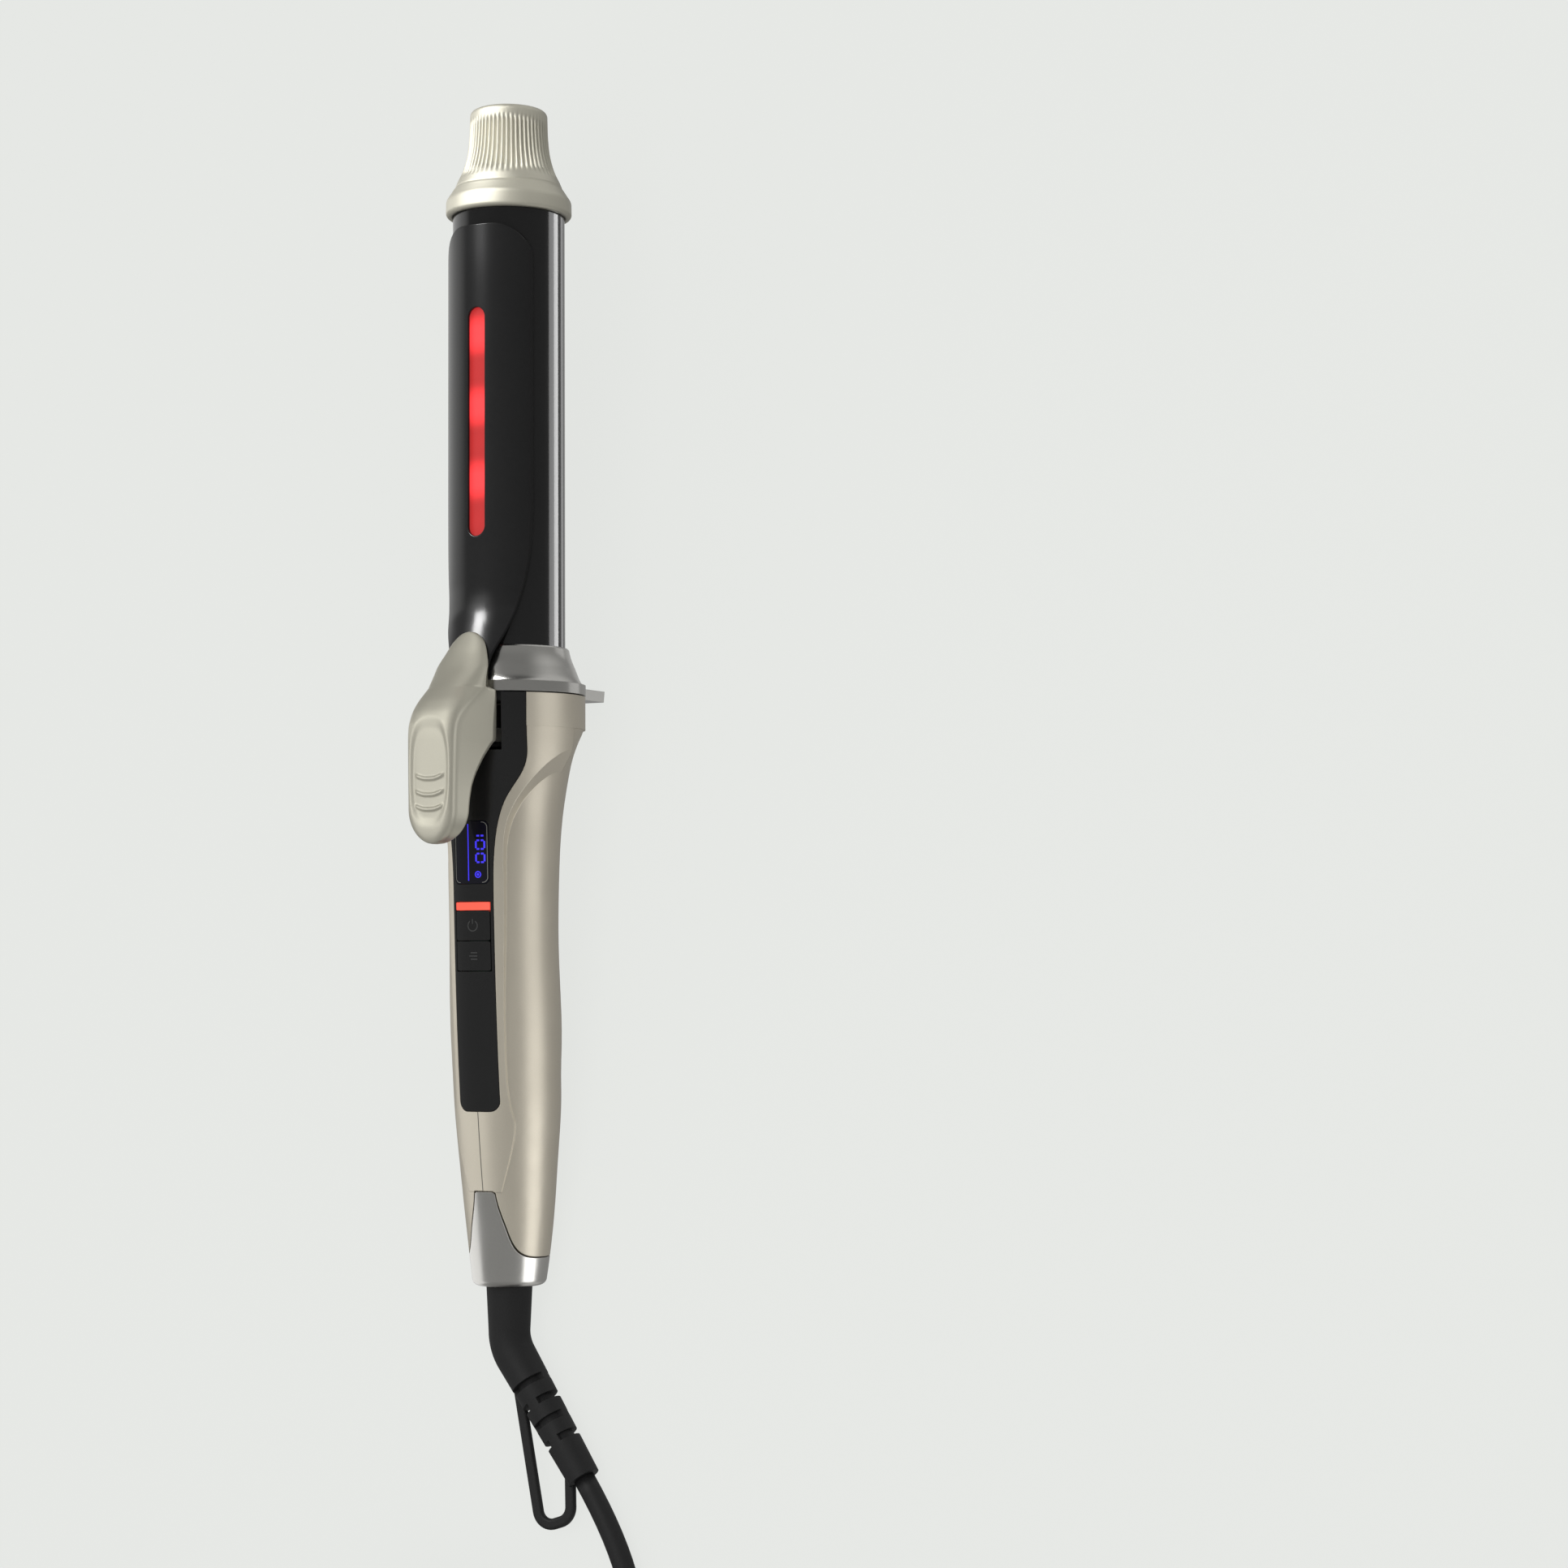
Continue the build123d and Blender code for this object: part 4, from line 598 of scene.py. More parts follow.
CAP_BASE = 137.6
CAP_HEIGHT = 31.4
CAP_RIM = 1.2  # rounding of the flange's edges
CAP_EDGE = 1.8  # rounding of the crown
CAP_DOME = 0.4
CAP_SKIRT = (
    # height over the lower edge, radius
    (3.7, 18.0), (4.6, 17.8), (5.9, 17.0), (7.3, 16.1), (8.7, 15.3), (10.3, 14.6), (11.9, 13.8), (13.5, 13.1),
    (15.9, 12.35), (18.7, 11.75), (21.7, 11.4), (24.7, 11.2), (28.9, 11.1),
)
CAP_GROOVE = 8.3  # height of the faint groove over the flange
GROOVE_DEPTH = 0.2
GROOVE_HALF = 0.45
CAP_RIBS = (10.1, 14.2, 25.4, 28.6)  # heights where the ribs start, are full, begin to fade and end
RIB_SKIN = (10.3, 10.9)  # radii between which the ribs leave the hollow alone and reach the skin
RIB_SHARPNESS = 1.6
RIB_STEPS = 8  # faces round each rib
RIB_MERGE = 0.005 * MM
WALL_STEPS, RIM_STEPS, SKIRT_STEPS, CROWN_STEPS = 6, 8, 120, 12
CAP_HOLLOW = (
    # radius, height, from the top inside down to the barrel's seat
    (0.0, 29.4), (9.1, 29.4), (9.1, 16.8), (13.2, 7.6), (13.2, 4.0), (16.15, 4.0), (16.15, 0.0),
)


def cap_profile():
    """The cap's closed section as (radius, height): the hollow, the flange, the waist and the dome."""
    points = []
    for (r0, h0), (r1, h1) in zip(CAP_HOLLOW, CAP_HOLLOW[1:]):
        points.extend(
            (r0 + (r1 - r0) * k / WALL_STEPS, h0 + (h1 - h0) * k / WALL_STEPS) for k in range(WALL_STEPS))
    points.append(CAP_HOLLOW[-1])
    flange = CAP_SKIRT[0][1]
    for k in range(RIM_STEPS + 1):
        turn = SQUARE * k / RIM_STEPS
        points.append((flange - CAP_RIM + CAP_RIM * sin(turn), CAP_RIM - CAP_RIM * cos(turn)))
    foot, head = CAP_SKIRT[0][0], CAP_SKIRT[-1][0]
    for k in range(1, SKIRT_STEPS + 1):
        height = foot + (head - foot) * k / SKIRT_STEPS
        groove = GROOVE_DEPTH * max(0.0, 1 - ((height - CAP_GROOVE) / GROOVE_HALF) ** 2)
        points.append((smooth_value(CAP_SKIRT, height) - groove, height))
    crown = CAP_SKIRT[-1][1]
    shoulder = CAP_HEIGHT - CAP_DOME - CAP_EDGE
    for k in range(1, CROWN_STEPS + 1):
        turn = SQUARE * k / CROWN_STEPS
        points.append((crown - CAP_EDGE + CAP_EDGE * cos(turn), shoulder + CAP_EDGE * sin(turn)))
    flat = crown - CAP_EDGE
    for k in range(1, CROWN_STEPS + 1):
        share = k / CROWN_STEPS
        points.append((flat * (1 - share), CAP_HEIGHT - CAP_DOME * (1 - share) ** 2))
    return points


def turned_tree():
    """Geometry Nodes that turn a profile round the iron's axis and press soft ribs into it."""
    tree = bpy.data.node_groups.new("RibbedTurning", "GeometryNodeTree")
    for label, kind in (
        ("Profile", "Geometry"), ("Rows", "Int"), ("Steps", "Int"), ("Rib Count", "Int"),
        ("Rib Depth", "Float"), ("Material", "Material"),
    ):
        tree.interface.new_socket(label, in_out="INPUT", socket_type="NodeSocket" + kind)
    tree.interface.new_socket("Form", in_out="OUTPUT", socket_type="NodeSocketGeometry")

    def number(operation, *values):
        return value_node(tree, operation, *values)

    entry = add_node(tree, "NodeGroupInput").outputs
    grid = add_node(tree, "GeometryNodeMeshGrid", {
        "Vertices X": number("ADD", entry["Steps"], 1.0), "Vertices Y": entry["Rows"],
    })
    place = add_node(tree, "GeometryNodeInputPosition").outputs["Position"]
    split = add_node(tree, "ShaderNodeSeparateXYZ", {"Vector": place}).outputs
    angle = number("MULTIPLY", number("ADD", split["X"], 0.5), 2 * pi)
    last = number("SUBTRACT", entry["Rows"], 1.0)
    row = number("MULTIPLY", number("ADD", split["Y"], 0.5), last)
    sample = add_node(tree, "GeometryNodeSampleIndex", data_type="FLOAT_VECTOR")
    feed(tree, sample, {"Geometry": entry["Profile"], "Value": place, "Index": number("ROUND", row)})
    point = add_node(tree, "ShaderNodeSeparateXYZ", {"Vector": sample.outputs["Value"]}).outputs
    radius, station = point["X"], point["Z"]
    wave = number("COSINE", number("MULTIPLY", angle, entry["Rib Count"]))
    valley = number("POWER", number("MULTIPLY_ADD", wave, -0.5, 0.5), RIB_SHARPNESS)
    begin, full, fade, end = (height * MM for height in CAP_RIBS)
    inside, outside = (reach * MM for reach in RIB_SKIN)
    ribbed = number("MULTIPLY", eased(tree, station, begin, full), eased(tree, station, end, fade))
    press = number("MULTIPLY", ribbed, eased(tree, radius, inside, outside))
    depth = number("MULTIPLY", number("MULTIPLY", valley, press), entry["Rib Depth"])
    reach = number("SUBTRACT", radius, depth)
    joined = add_node(tree, "ShaderNodeCombineXYZ", {
        "X": number("MULTIPLY", reach, number("COSINE", angle)),
        "Y": number("MULTIPLY", reach, number("SINE", angle)), "Z": station,
    })
    form = grid.outputs["Mesh"]
    for kind, inputs in (
        ("SetPosition", {"Position": joined.outputs["Vector"]}), ("MergeByDistance", {"Distance": RIB_MERGE}),
        ("RealizeInstances", {}), ("SetMaterial", {"Material": entry["Material"]}),
    ):
        form = add_node(tree, "GeometryNode" + kind, {"Geometry": form} | inputs).outputs["Geometry"]
    add_node(tree, "NodeGroupOutput", {"Form": form})
    return tree


def set_input(modifier, label, value):
    """Sets a Geometry Nodes modifier's input by its socket's identifier."""
    for item in modifier.node_group.interface.items_tree:
        if item.name == label and item.in_out == "INPUT":
            modifier[item.identifier] = value
            return
    raise RuntimeError(f"no input {label}")


class IRON_OT_cap(bpy.types.Operator):
    """Turns the cool cap with its soft ribs, rounded lip and domed top"""

    bl_idname = "iron.cap"
    bl_label = "Cap"

    def execute(self, context):
        sizes = context.scene.iron_sizes
        points = cap_profile()
        mesh = bpy.data.meshes.new("cap")
        edges = [(k, k + 1) for k in range(len(points) - 1)]
        mesh.from_pydata([(radius * MM, 0, height * MM) for radius, height in points], edges, [])
        cap = add_piece("cap", mesh)
        turning = cap.modifiers.new("turning", "NODES")
        turning.node_group = turned_tree()
        for label, value in (
            ("Rows", len(points)), ("Steps", RIB_STEPS * sizes.rib_count), ("Rib Count", sizes.rib_count),
            ("Rib Depth", sizes.rib_depth), ("Material", finishes["champagne"]),
        ):
            set_input(turning, label, value)
        plain_mesh(cap)
        cap.data.transform(tool_matrix @ Matrix.Translation((0, 0, CAP_BASE * MM)))
        settle(cap, finishes["champagne"], "champagne", "iron", "cool_tip_cap")
        return {"FINISHED"}


# Clamp

CLAMP_RADIUS = 17.35
CLAMP_THICKNESS = 1.0
CLAMP_END = 132.7
CLAMP_CORNER = 9.0
CLAMP_CROWN = (
    # station, height of the outer face at its middle
    (1.0, 24.55), (8.0, 22.25), (18.0, 19.55), (24.0, 17.95), (30.0, 17.4), (38.0, 17.35),
)
CLAMP_HALF = (
    # station, half width
    (1.0, 6.2), (8.0, 6.5), (18.0, 9.8), (26.0, 11.6), (34.0, 12.9), (42.0, 13.6), (52.0, 13.9),
)
CLAMP_SHARES = (0.0, 0.008, *[(k + 1) / 25 for k in range(24)], 0.992, 1.0)  # rings from the slot to the edge
SLOT_MIDDLE = 76.6
SLOT_HALF = 32.5
SLOT_RADIUS = 2.85
TIP_STEPS, CORNER_STEPS, SHOULDER_STEPS, SLOT_STEPS, NECK_STEPS, FOOT_STEPS = 4, 12, 6, 50, 48, 8


def slot_corner(station, turn):
    """A place on the slot's rounded end about a station, turned from the tip's side."""
    return station + SLOT_RADIUS * cos(turn), SLOT_RADIUS * sin(turn)


def clamp_edges():
    """Places (station, side) down the clamp's right edge, each with its place on the slot's edge."""
    wide = CLAMP_HALF[-1][1]
    foot, narrow = CLAMP_HALF[0]
    upper = SLOT_MIDDLE + SLOT_HALF - SLOT_RADIUS
    lower = SLOT_MIDDLE - SLOT_HALF + SLOT_RADIUS
    arc = CLAMP_CORNER
    tip = [(CLAMP_END, (wide - arc) * k / TIP_STEPS) for k in range(TIP_STEPS)]
    for k in range(CORNER_STEPS + 1):
        turn = SQUARE * k / CORNER_STEPS
        tip.append((CLAMP_END - arc + arc * cos(turn), wide - arc + arc * sin(turn)))
    bend = upper - CLAMP_END + arc
    tip += [(CLAMP_END - arc + bend * k / SHOULDER_STEPS, wide) for k in range(1, SHOULDER_STEPS)]
    places = [(place, slot_corner(upper, SQUARE * k / len(tip))) for k, place in enumerate(tip)]
    for k in range(SLOT_STEPS):
        station = upper + (lower - upper) * k / SLOT_STEPS
        places.append(((station, smooth_value(CLAMP_HALF, station)), (station, SLOT_RADIUS)))
    side = [lower + (foot - lower) * k / NECK_STEPS for k in range(NECK_STEPS + 1)]
    rest = [(station, smooth_value(CLAMP_HALF, station)) for station in side]
    rest += [(foot, narrow * (1 - k / FOOT_STEPS)) for k in range(1, FOOT_STEPS + 1)]
    last = len(rest) - 1
    places += [(place, slot_corner(lower, SQUARE * (1 + k / last))) for k, place in enumerate(rest)]
    return places


class IRON_OT_clamp(bpy.types.Operator):
    """Shapes the clamp: a curved sheet round the light's slot, drawn in and up to its neck in one line"""

    bl_idname = "iron.clamp"
    bl_label = "Clamp"

    def execute(self, context):
        places = clamp_edges()
        places += [((far, -wide), (near, -narrow)) for (far, wide), (near, narrow) in reversed(places[1:-1])]
        shape = bmesh.new()
        faces = []
        for radius in (CLAMP_RADIUS, CLAMP_RADIUS - CLAMP_THICKNESS):
            rings = []
            for share in CLAMP_SHARES:
                ring = []
                for (far, wide), (near, narrow) in places:
                    station = near + (far - near) * share
                    side = narrow + (wide - narrow) * share
                    centre = smooth_value(CLAMP_CROWN, station) - CLAMP_RADIUS
                    height = centre + sqrt(radius**2 - side**2)
                    ring.append(shape.verts.new(tool_point(side, height, station)))
                rings.append(ring)
            faces.append(rings)
        rings = faces[0] + faces[1][::-1]
        close_rings(shape, rings, True)
        clamp = shape_piece("clamp_sheet", shape)
        settle(clamp, finishes["clamp"], "black_coat", "clamp", "clamp_plate")
        return {"FINISHED"}


# Lever

LEVER_TIP = 16.8
LEVER_END = -43.2
LEVER_NOSE = 9.5  # length of the rounded end
NOSE_FULLNESS = 2.0
NOSE_HEART = 3.6  # depth under the crown that the rounded end closes on
NOSE_TOP = (0.35, 0.65)  # share of the height over that kept at the very end, and the share that closes
NOSE_FOOT = (0.3, 0.7)  # the same for the height under it
LEVER_THIN = 0.05  # least height of a section
CROWN_FULLNESS = (2.3, 1.3)  # over the neck, and how much more over the pad
CROWN_DEPTH = (3.4, 7.0)  # over the pad, and how much more over the neck
HOLLOW_ENDS = ((-36.6, -36.0), (1.2, 0.6))  # stations where the underside's hollow begins and ends
INNER_SHARE = 0.4  # least share of the half width that is hollow
LEVER_CROWDING = 0.06  # how much closer the sections stand near both ends
LEVER_STEPS = 260
LEVER_WALLS = 10  # points up each flank
LEVER_ARCH = 64  # points over the top
LEVER_UNDER = 8  # points along each side of the hollow
LEVER_TOP = (
    # station, height of the crown
    (-43.2, 41.3), (-28.0, 41.3), (-15.0, 41.2), (-11.0, 40.9), (-7.4, 39.8), (-4.0, 37.7), (-1.0, 35.1),
    (3.0, 31.2), (6.5, 27.9), (10.0, 25.2), (13.0, 23.2), (15.6, 21.5), (16.8, 20.7),
)
LEVER_FOOT = (
    # station, height of the lower edge
    (-43.2, 33.4), (-34.0, 33.2), (-28.0, 32.2), (-20.0, 27.4), (-15.0, 22.6), (-13.6, 20.9), (-0.4, 20.9),
    (0.0, 21.2), (0.8, 24.8), (16.5, 20.3), (16.8, 20.4),
)
LEVER_FLANK = (
    # station, half width squared at the lower edge
    (-37.2, 67.0), (-24.0, 72.0), (-13.0, 82.8), (-3.0, 84.6), (6.0, 68.9), (10.5, 45.0), (13.5, 28.0),
    (15.8, 10.0), (16.8, 0.0),
)
LEVER_BROW = (
    # station, half width squared where the crown begins
    (-37.2, 55.0), (-24.0, 58.0), (-10.0, 62.0), (-3.0, 70.0), (6.0, 66.0), (10.5, 44.0), (13.5, 27.5),
    (15.8, 9.8), (16.8, 0.0),
)
LEVER_ROOF = ((-36.0, 38.9), (-24.0, 38.8), (-12.0, 37.0), (-4.0, 31.6), (1.0, 24.9))
LEVER_WALL = 2.0
PAD_MIDDLE = -23.5
PAD_HALF = (6.5, 15.4)
RIDGES = (-25.4, -29.8, -33.8)
RIDGE_HALF = 4.6
RIDGE_BOW = 1.2
PAD_SQUARENESS = 2.8
PAD_EDGE = (0.78, 1.03)  # shares of the pad's half sizes where its edge begins and ends
RIDGE_FADE = (0.1, 0.8)  # distances from a ridge's line where it is full and ends
RIDGE_ENDS = (0.85, 1.05)  # shares of a ridge's half length


def pad_relief(side, station, depth, rise):
    """How far the lever's top lies under its crown: the thumb pad's hollow less its ridges."""
    across = abs(side) / PAD_HALF[0]
    length = abs(station - PAD_MIDDLE) / PAD_HALF[1]
    outward = (across**PAD_SQUARENESS + length**PAD_SQUARENESS) ** (1 / PAD_SQUARENESS)
    inside = 1 - smooth_step(*PAD_EDGE, outward)
    relief = depth * inside
    for ridge in RIDGES:
        bow = ridge + RIDGE_BOW * (side / RIDGE_HALF) ** 2
        lift = 1 - smooth_step(*RIDGE_FADE, abs(station - bow))
        relief -= rise * lift * (1 - smooth_step(*RIDGE_ENDS, abs(side) / RIDGE_HALF)) * inside
    return relief


def lever_section(station, depth, rise):
    """One section of the lever, from its left foot over the top to the right foot and back underneath."""
    flank = sqrt(max(smooth_value(LEVER_FLANK, station), 0.0))
    brow = sqrt(max(smooth_value(LEVER_BROW, station), 0.0))
    top = smooth_value(LEVER_TOP, station)
    foot = smooth_value(LEVER_FOOT, station)
    nose = max(0.0, (LEVER_END + LEVER_NOSE - station) / LEVER_NOSE)
    plump = max(0.0, 1 - nose**NOSE_FULLNESS) ** (1 / NOSE_FULLNESS)
    heart = top - NOSE_HEART
    flank *= plump
    brow *= plump
    top = heart + (top - heart) * (NOSE_TOP[0] + NOSE_TOP[1] * plump)
    foot = heart + (foot - heart) * (NOSE_FOOT[0] + NOSE_FOOT[1] * plump)
    foot = min(foot, top - LEVER_THIN)
    fullness = CROWN_FULLNESS[0] + CROWN_FULLNESS[1] * smooth_step(4.0, -14.0, station)
    crown = min(top - foot, CROWN_DEPTH[0] + CROWN_DEPTH[1] * smooth_step(-12.0, 4.0, station))
    points = []
    for k in range(LEVER_WALLS):
        share = k / LEVER_WALLS
        points.append((-flank + (flank - brow) * share, foot + (top - crown - foot) * share))
    for k in range(LEVER_ARCH + 1):
        turn = pi * (1 - k / LEVER_ARCH)
        reach = abs(cos(turn)) ** (2 / fullness) * brow
        side = reach if cos(turn) > 0 else -reach
        height = top - crown + crown * abs(sin(turn)) ** (2 / fullness)
        points.append((side, height - pad_relief(side, station, depth, rise)))
    for k in range(1, LEVER_WALLS + 1):
        share = 1 - k / LEVER_WALLS
        points.append((flank + (brow - flank) * share, foot + (top - crown - foot) * share))
    roof = smooth_value(LEVER_ROOF, station)
    hollow = smooth_step(*HOLLOW_ENDS[0], station) * smooth_step(*HOLLOW_ENDS[1], station)
    roof = foot + max(roof - foot, 0.0) * hollow
    inner = max(flank - LEVER_WALL, INNER_SHARE * flank)
    points.extend((inner, foot + (roof - foot) * k / LEVER_UNDER) for k in range(LEVER_UNDER))
    points.extend((inner - 2 * inner * k / LEVER_UNDER, roof) for k in range(LEVER_UNDER))
    points.extend((-inner, roof + (foot - roof) * k / LEVER_UNDER) for k in range(LEVER_UNDER + 1))
    return points


class IRON_OT_lever(bpy.types.Operator):
    """Shapes the thumb lever: a saddle with a hollow thumb pad, three ridges and a hollow underside"""

    bl_idname = "iron.lever"
    bl_label = "Lever"

    def execute(self, context):
        sizes = context.scene.iron_sizes
        shape = bmesh.new()
        rings = []
        for k in range(LEVER_STEPS + 1):
            share = k / LEVER_STEPS
            share = share - LEVER_CROWDING * sin(2 * pi * share) / pi
            station = LEVER_END + (LEVER_TIP - LEVER_END) * share
            section = lever_section(station, sizes.pad_depth, sizes.ridge_height)
            rings.append([shape.verts.new(tool_point(side, height, station)) for side, height in section])
        close_rings(shape, rings, False)
        shape.faces.new(rings[0])
        shape.faces.new(list(reversed(rings[-1])))
        lever = shape_piece("lever", shape)
        settle(lever, finishes["champagne"], "champagne", "clamp", "clamp_lever")
        return {"FINISHED"}


# Display and marks

DISPLAY_MIDDLE = -45.0
DISPLAY_HALF = (5.2, 8.4)
DISPLAY_CORNER = 1.4
LINE_LIFT = 0.06
FIGURE_SIZE = (2.4, 2.5)  # width and height
FIGURE_START = 4.6  # left edge of the first figure, over the display's middle
FIGURE_TOP = -4.4
FIGURE_GAP = 1.3
BAR_GAP = 0.22  # what a bar stops short of its figure's corners
FIGURE_LINE, RULE_LINE, FRAME_LINE, MARK_LINE = 0.5, 0.3, 0.16, 0.32  # widths of the bands
RULE_SIDE = 0.6
RULE_HALF = 7.9
SIGN_PLACE = (-2.4, -6.2)  # side, and station over the display's middle
SIGN_RADIUS = 0.8
DOT_RADIUS = 0.22


def ribbon(shape, surface, line, width, closed=False):
    """A thin raised band along a line of (side, station) points on a surface."""
    count = len(line)
    pairs = []
    for k, (side, station) in enumerate(line):
        before = Vector(line[k - 1] if closed or k else line[k])
        after = Vector(line[(k + 1) % count] if closed or k < count - 1 else line[k])
        way = (after - before).normalized()
        across = Vector((-way.y, way.x)) * width / 2
        edges = []
        for sign in (1, -1):
            for lift in (LINE_LIFT, -LINE_LIFT):
                spot = Vector((side, station)) + across * sign
                edges.append(shape.verts.new(drop_on(surface, spot.x, spot.y, lift)))
        pairs.append(edges)
    links = list(zip(pairs, pairs[1:]))
    if closed:
        links.append((pairs[-1], pairs[0]))
    for near, far in links:
        for a, b in ((0, 2), (2, 3), (3, 1), (1, 0)):
            shape.faces.new((near[a], near[b], far[b], far[a]))
    if not closed:
        for end in (pairs[0], pairs[-1]):
            shape.faces.new((end[0], end[2], end[3], end[1]))


def straight(start, end, steps):
    """Points of a straight line."""
    return [tuple(Vector(start).lerp(Vector(end), k / steps)) for k in range(steps + 1)]


def round_line(centre, radius, start, turn, steps):
    """Points of an arc, from a start angle through a turn in radians."""
    angles = [start + turn * k / steps for k in range(steps + 1)]
    return [(centre[0] + radius * cos(angle), centre[1] + radius * sin(angle)) for angle in angles]


def rounded_box(half, corner, middle, steps):
    """Points round a box with rounded corners, given its half sizes and its middle station."""
    points = []
    for k, (x, y) in enumerate(((1, 1), (-1, 1), (-1, -1), (1, -1))):
        heart = (x * (half[0] - corner), middle + y * (half[1] - corner))
        points.extend(round_line(heart, corner, k * pi / 2, pi / 2, steps))
    return points


def digit_lines(figure, left, top, width, height):
    """The bars of a seven-bar figure that reads along the iron: left edge on a station, top toward a side."""
    bars = {"1": "bc", "0": "abcdef"}[figure]
    right = left - width
    half = top + height / 2
    low = top + height
    gap = BAR_GAP
    ends = {
        "a": ((top, left - gap), (top, right + gap)),
        "b": ((top + gap, right), (half - gap, right)),
        "c": ((half + gap, right), (low - gap, right)),
        "d": ((low, left - gap), (low, right + gap)),
        "e": ((half + gap, left), (low - gap, left)),
        "f": ((top + gap, left), (half - gap, left)),
    }
    return [ends[bar] for bar in bars]


def band_piece(name, surface, lines, width, material, slot, body):
    """One piece of several thin bands on a surface; each line is its points and whether it is closed."""
    shape = bmesh.new()
    for line, closed in lines:
        ribbon(shape, surface, line, width, closed)
    piece = shape_piece(name, shape)
    settle(piece, material, slot, body)
    for face in piece.data.polygons:
        face.use_smooth = False


class IRON_OT_display(bpy.types.Operator):
    """Draws the display's figures, rule and frame line on its window"""

    bl_idname = "iron.display"
    bl_label = "Display"

    def execute(self, context):
        blue = tuple(context.scene.iron_finish.blue)
        lit = glow_material("BlueFigures", blue, shade(blue, 1.5), 1.0)
        window = surface_of("display_window")
        bars = []
        station = DISPLAY_MIDDLE + FIGURE_START
        for figure, width in (("1", 0.0), ("0", FIGURE_SIZE[0]), ("0", FIGURE_SIZE[0])):
            for start, end in digit_lines(figure, station, FIGURE_TOP, width, FIGURE_SIZE[1]):
                bars.append((straight(start, end, 3), False))
            station -= width + FIGURE_GAP
        band_piece("display_figures", window, bars, FIGURE_LINE, lit, "display_blue", "iron")
        top, foot = DISPLAY_MIDDLE + RULE_HALF, DISPLAY_MIDDLE - RULE_HALF
        rule = straight((RULE_SIDE, top), (RULE_SIDE, foot), 30)
        heart = (SIGN_PLACE[0], DISPLAY_MIDDLE + SIGN_PLACE[1])
        sign = round_line(heart, SIGN_RADIUS, 0.0, 2 * pi, 24)
        dot = round_line(heart, DOT_RADIUS, 0.0, 2 * pi, 12)
        lines = [(rule, False), (sign[:-1], True), (dot[:-1], True)]
        band_piece("display_rule", window, lines, RULE_LINE, lit, "display_blue", "iron")
        outline = rounded_box(DISPLAY_HALF, DISPLAY_CORNER, DISPLAY_MIDDLE, 6)
        line = finishes["line"]
        band_piece("display_frame", window, [(outline, True)], FRAME_LINE, line, "silver", "iron")
        return {"FINISHED"}


BAR_TOP = -58.9
BAR_HEIGHT = 2.2
BUTTON_LENGTH = 8.2
BUTTON_GAP = 0.25
MARK_SIDE = -0.4
RING_RADIUS = 1.5
RING_GAP = 0.6  # half of the ring's opening, in radians
RING_BAR = (0.5, 1.9)  # the bar's ends, over the ring's middle
MARK_PITCH = 0.9
MARK_ENDS = (-1.7, 0.9, 0.5)  # left end, right end of the middle bar, what the others are shorter by


class IRON_OT_keys(bpy.types.Operator):
    """Marks the two keys with a ring and bar, and with three bars, in low relief"""

    bl_idname = "iron.keys"
    bl_label = "Keys"

    def execute(self, context):
        power = BAR_TOP - BAR_HEIGHT - BUTTON_GAP - BUTTON_LENGTH / 2
        mode = power - BUTTON_LENGTH - BUTTON_GAP
        mark = finishes["mark"]
        ring = round_line((MARK_SIDE, power), RING_RADIUS, SQUARE + RING_GAP, 2 * (pi - RING_GAP), 24)
        bar = straight((MARK_SIDE, power + RING_BAR[0]), (MARK_SIDE, power + RING_BAR[1]), 3)
        lines = [(ring, False), (bar, False)]
        key = surface_of("power_button")
        band_piece("power_mark", key, lines, MARK_LINE, mark, "black_panel", "power_key")
        left, right, shorter = MARK_ENDS
        lines = []
        for k in (-1, 0, 1):
            station = mode + MARK_PITCH * k
            lines.append((straight((left, station), (right - shorter * abs(k), station), 4), False))
        key = surface_of("mode_button")
        band_piece("mode_mark", key, lines, MARK_LINE, mark, "black_panel", "mode_key")
        return {"FINISHED"}


# Lights of the object


class IRON_OT_lights(bpy.types.Operator):
    """Lights the window under the clamp and the bar on the panel"""

    bl_idname = "iron.lights"
    bl_label = "Lights"

    def execute(self, context):
        red = tuple(context.scene.iron_finish.red)
        bright = (1.0, 0.05, 0.055)
        paint(glow_material("RedWindow", red, bright, 0.85, (101.4, 81.0, 60.2)), "light_window")
        paint(glow_material("RedBar", (0.72, 0.08, 0.05), (0.82, 0.1, 0.06), 0.9), "light_bar")
        paint(glow_material("RedEmitter", bright, bright, 2.0), "light_emitters")
        return {"FINISHED"}


# Stage

BANDS = (
    # degrees round the iron's axis from the clamp's side toward the camera's, strength of the light
    (-180.0, 0.4), (-150.0, 0.5), (-120.0, 0.8), (-100.0, 1.0), (-78.0, 0.95), (-66.0, 0.7), (-57.0, 0.2),
    (-30.0, 0.14), (0.0, 0.14), (110.0, 0.16), (150.0, 0.25), (180.0, 0.4),
)
SURROUND = 0.26  # what gloss reflects elsewhere
BAND_REACH = (0.082, 0.1, 0.27, 0.4)  # the bands' start, full start, full end and end, toward the tip
SOFT_BOX = 1.8  # strength of the soft box past the tip
BOX_TURN = 0.45  # how far round the axis the box's middle stands, in radians
BOX_FADE = (0.62, 0.05)  # turns from its middle where the box ends and is full
BOX_REACH = (0.24, 0.36, 0.8, 0.95)  # its start, full start, full end and end, toward the tip
ENDS = ((0.4, 0.7), (1.2, 2.1), (0.2, 0.5))  # reach toward either end, turn and strengths of what stands there
TIP = ((0.78, 0.93), (1.5, 2.2), (0.07, 0.55))  # the same right past the tip
SKY_RISE = (-0.3, 0.5)  # heights where the plain light is lowest and highest
SKY_TINT = (1.0, 1.0, 0.985, 1)
PLAIN_LIGHT = (0.2, 0.6)  # what falls on plain surfaces from below and from above
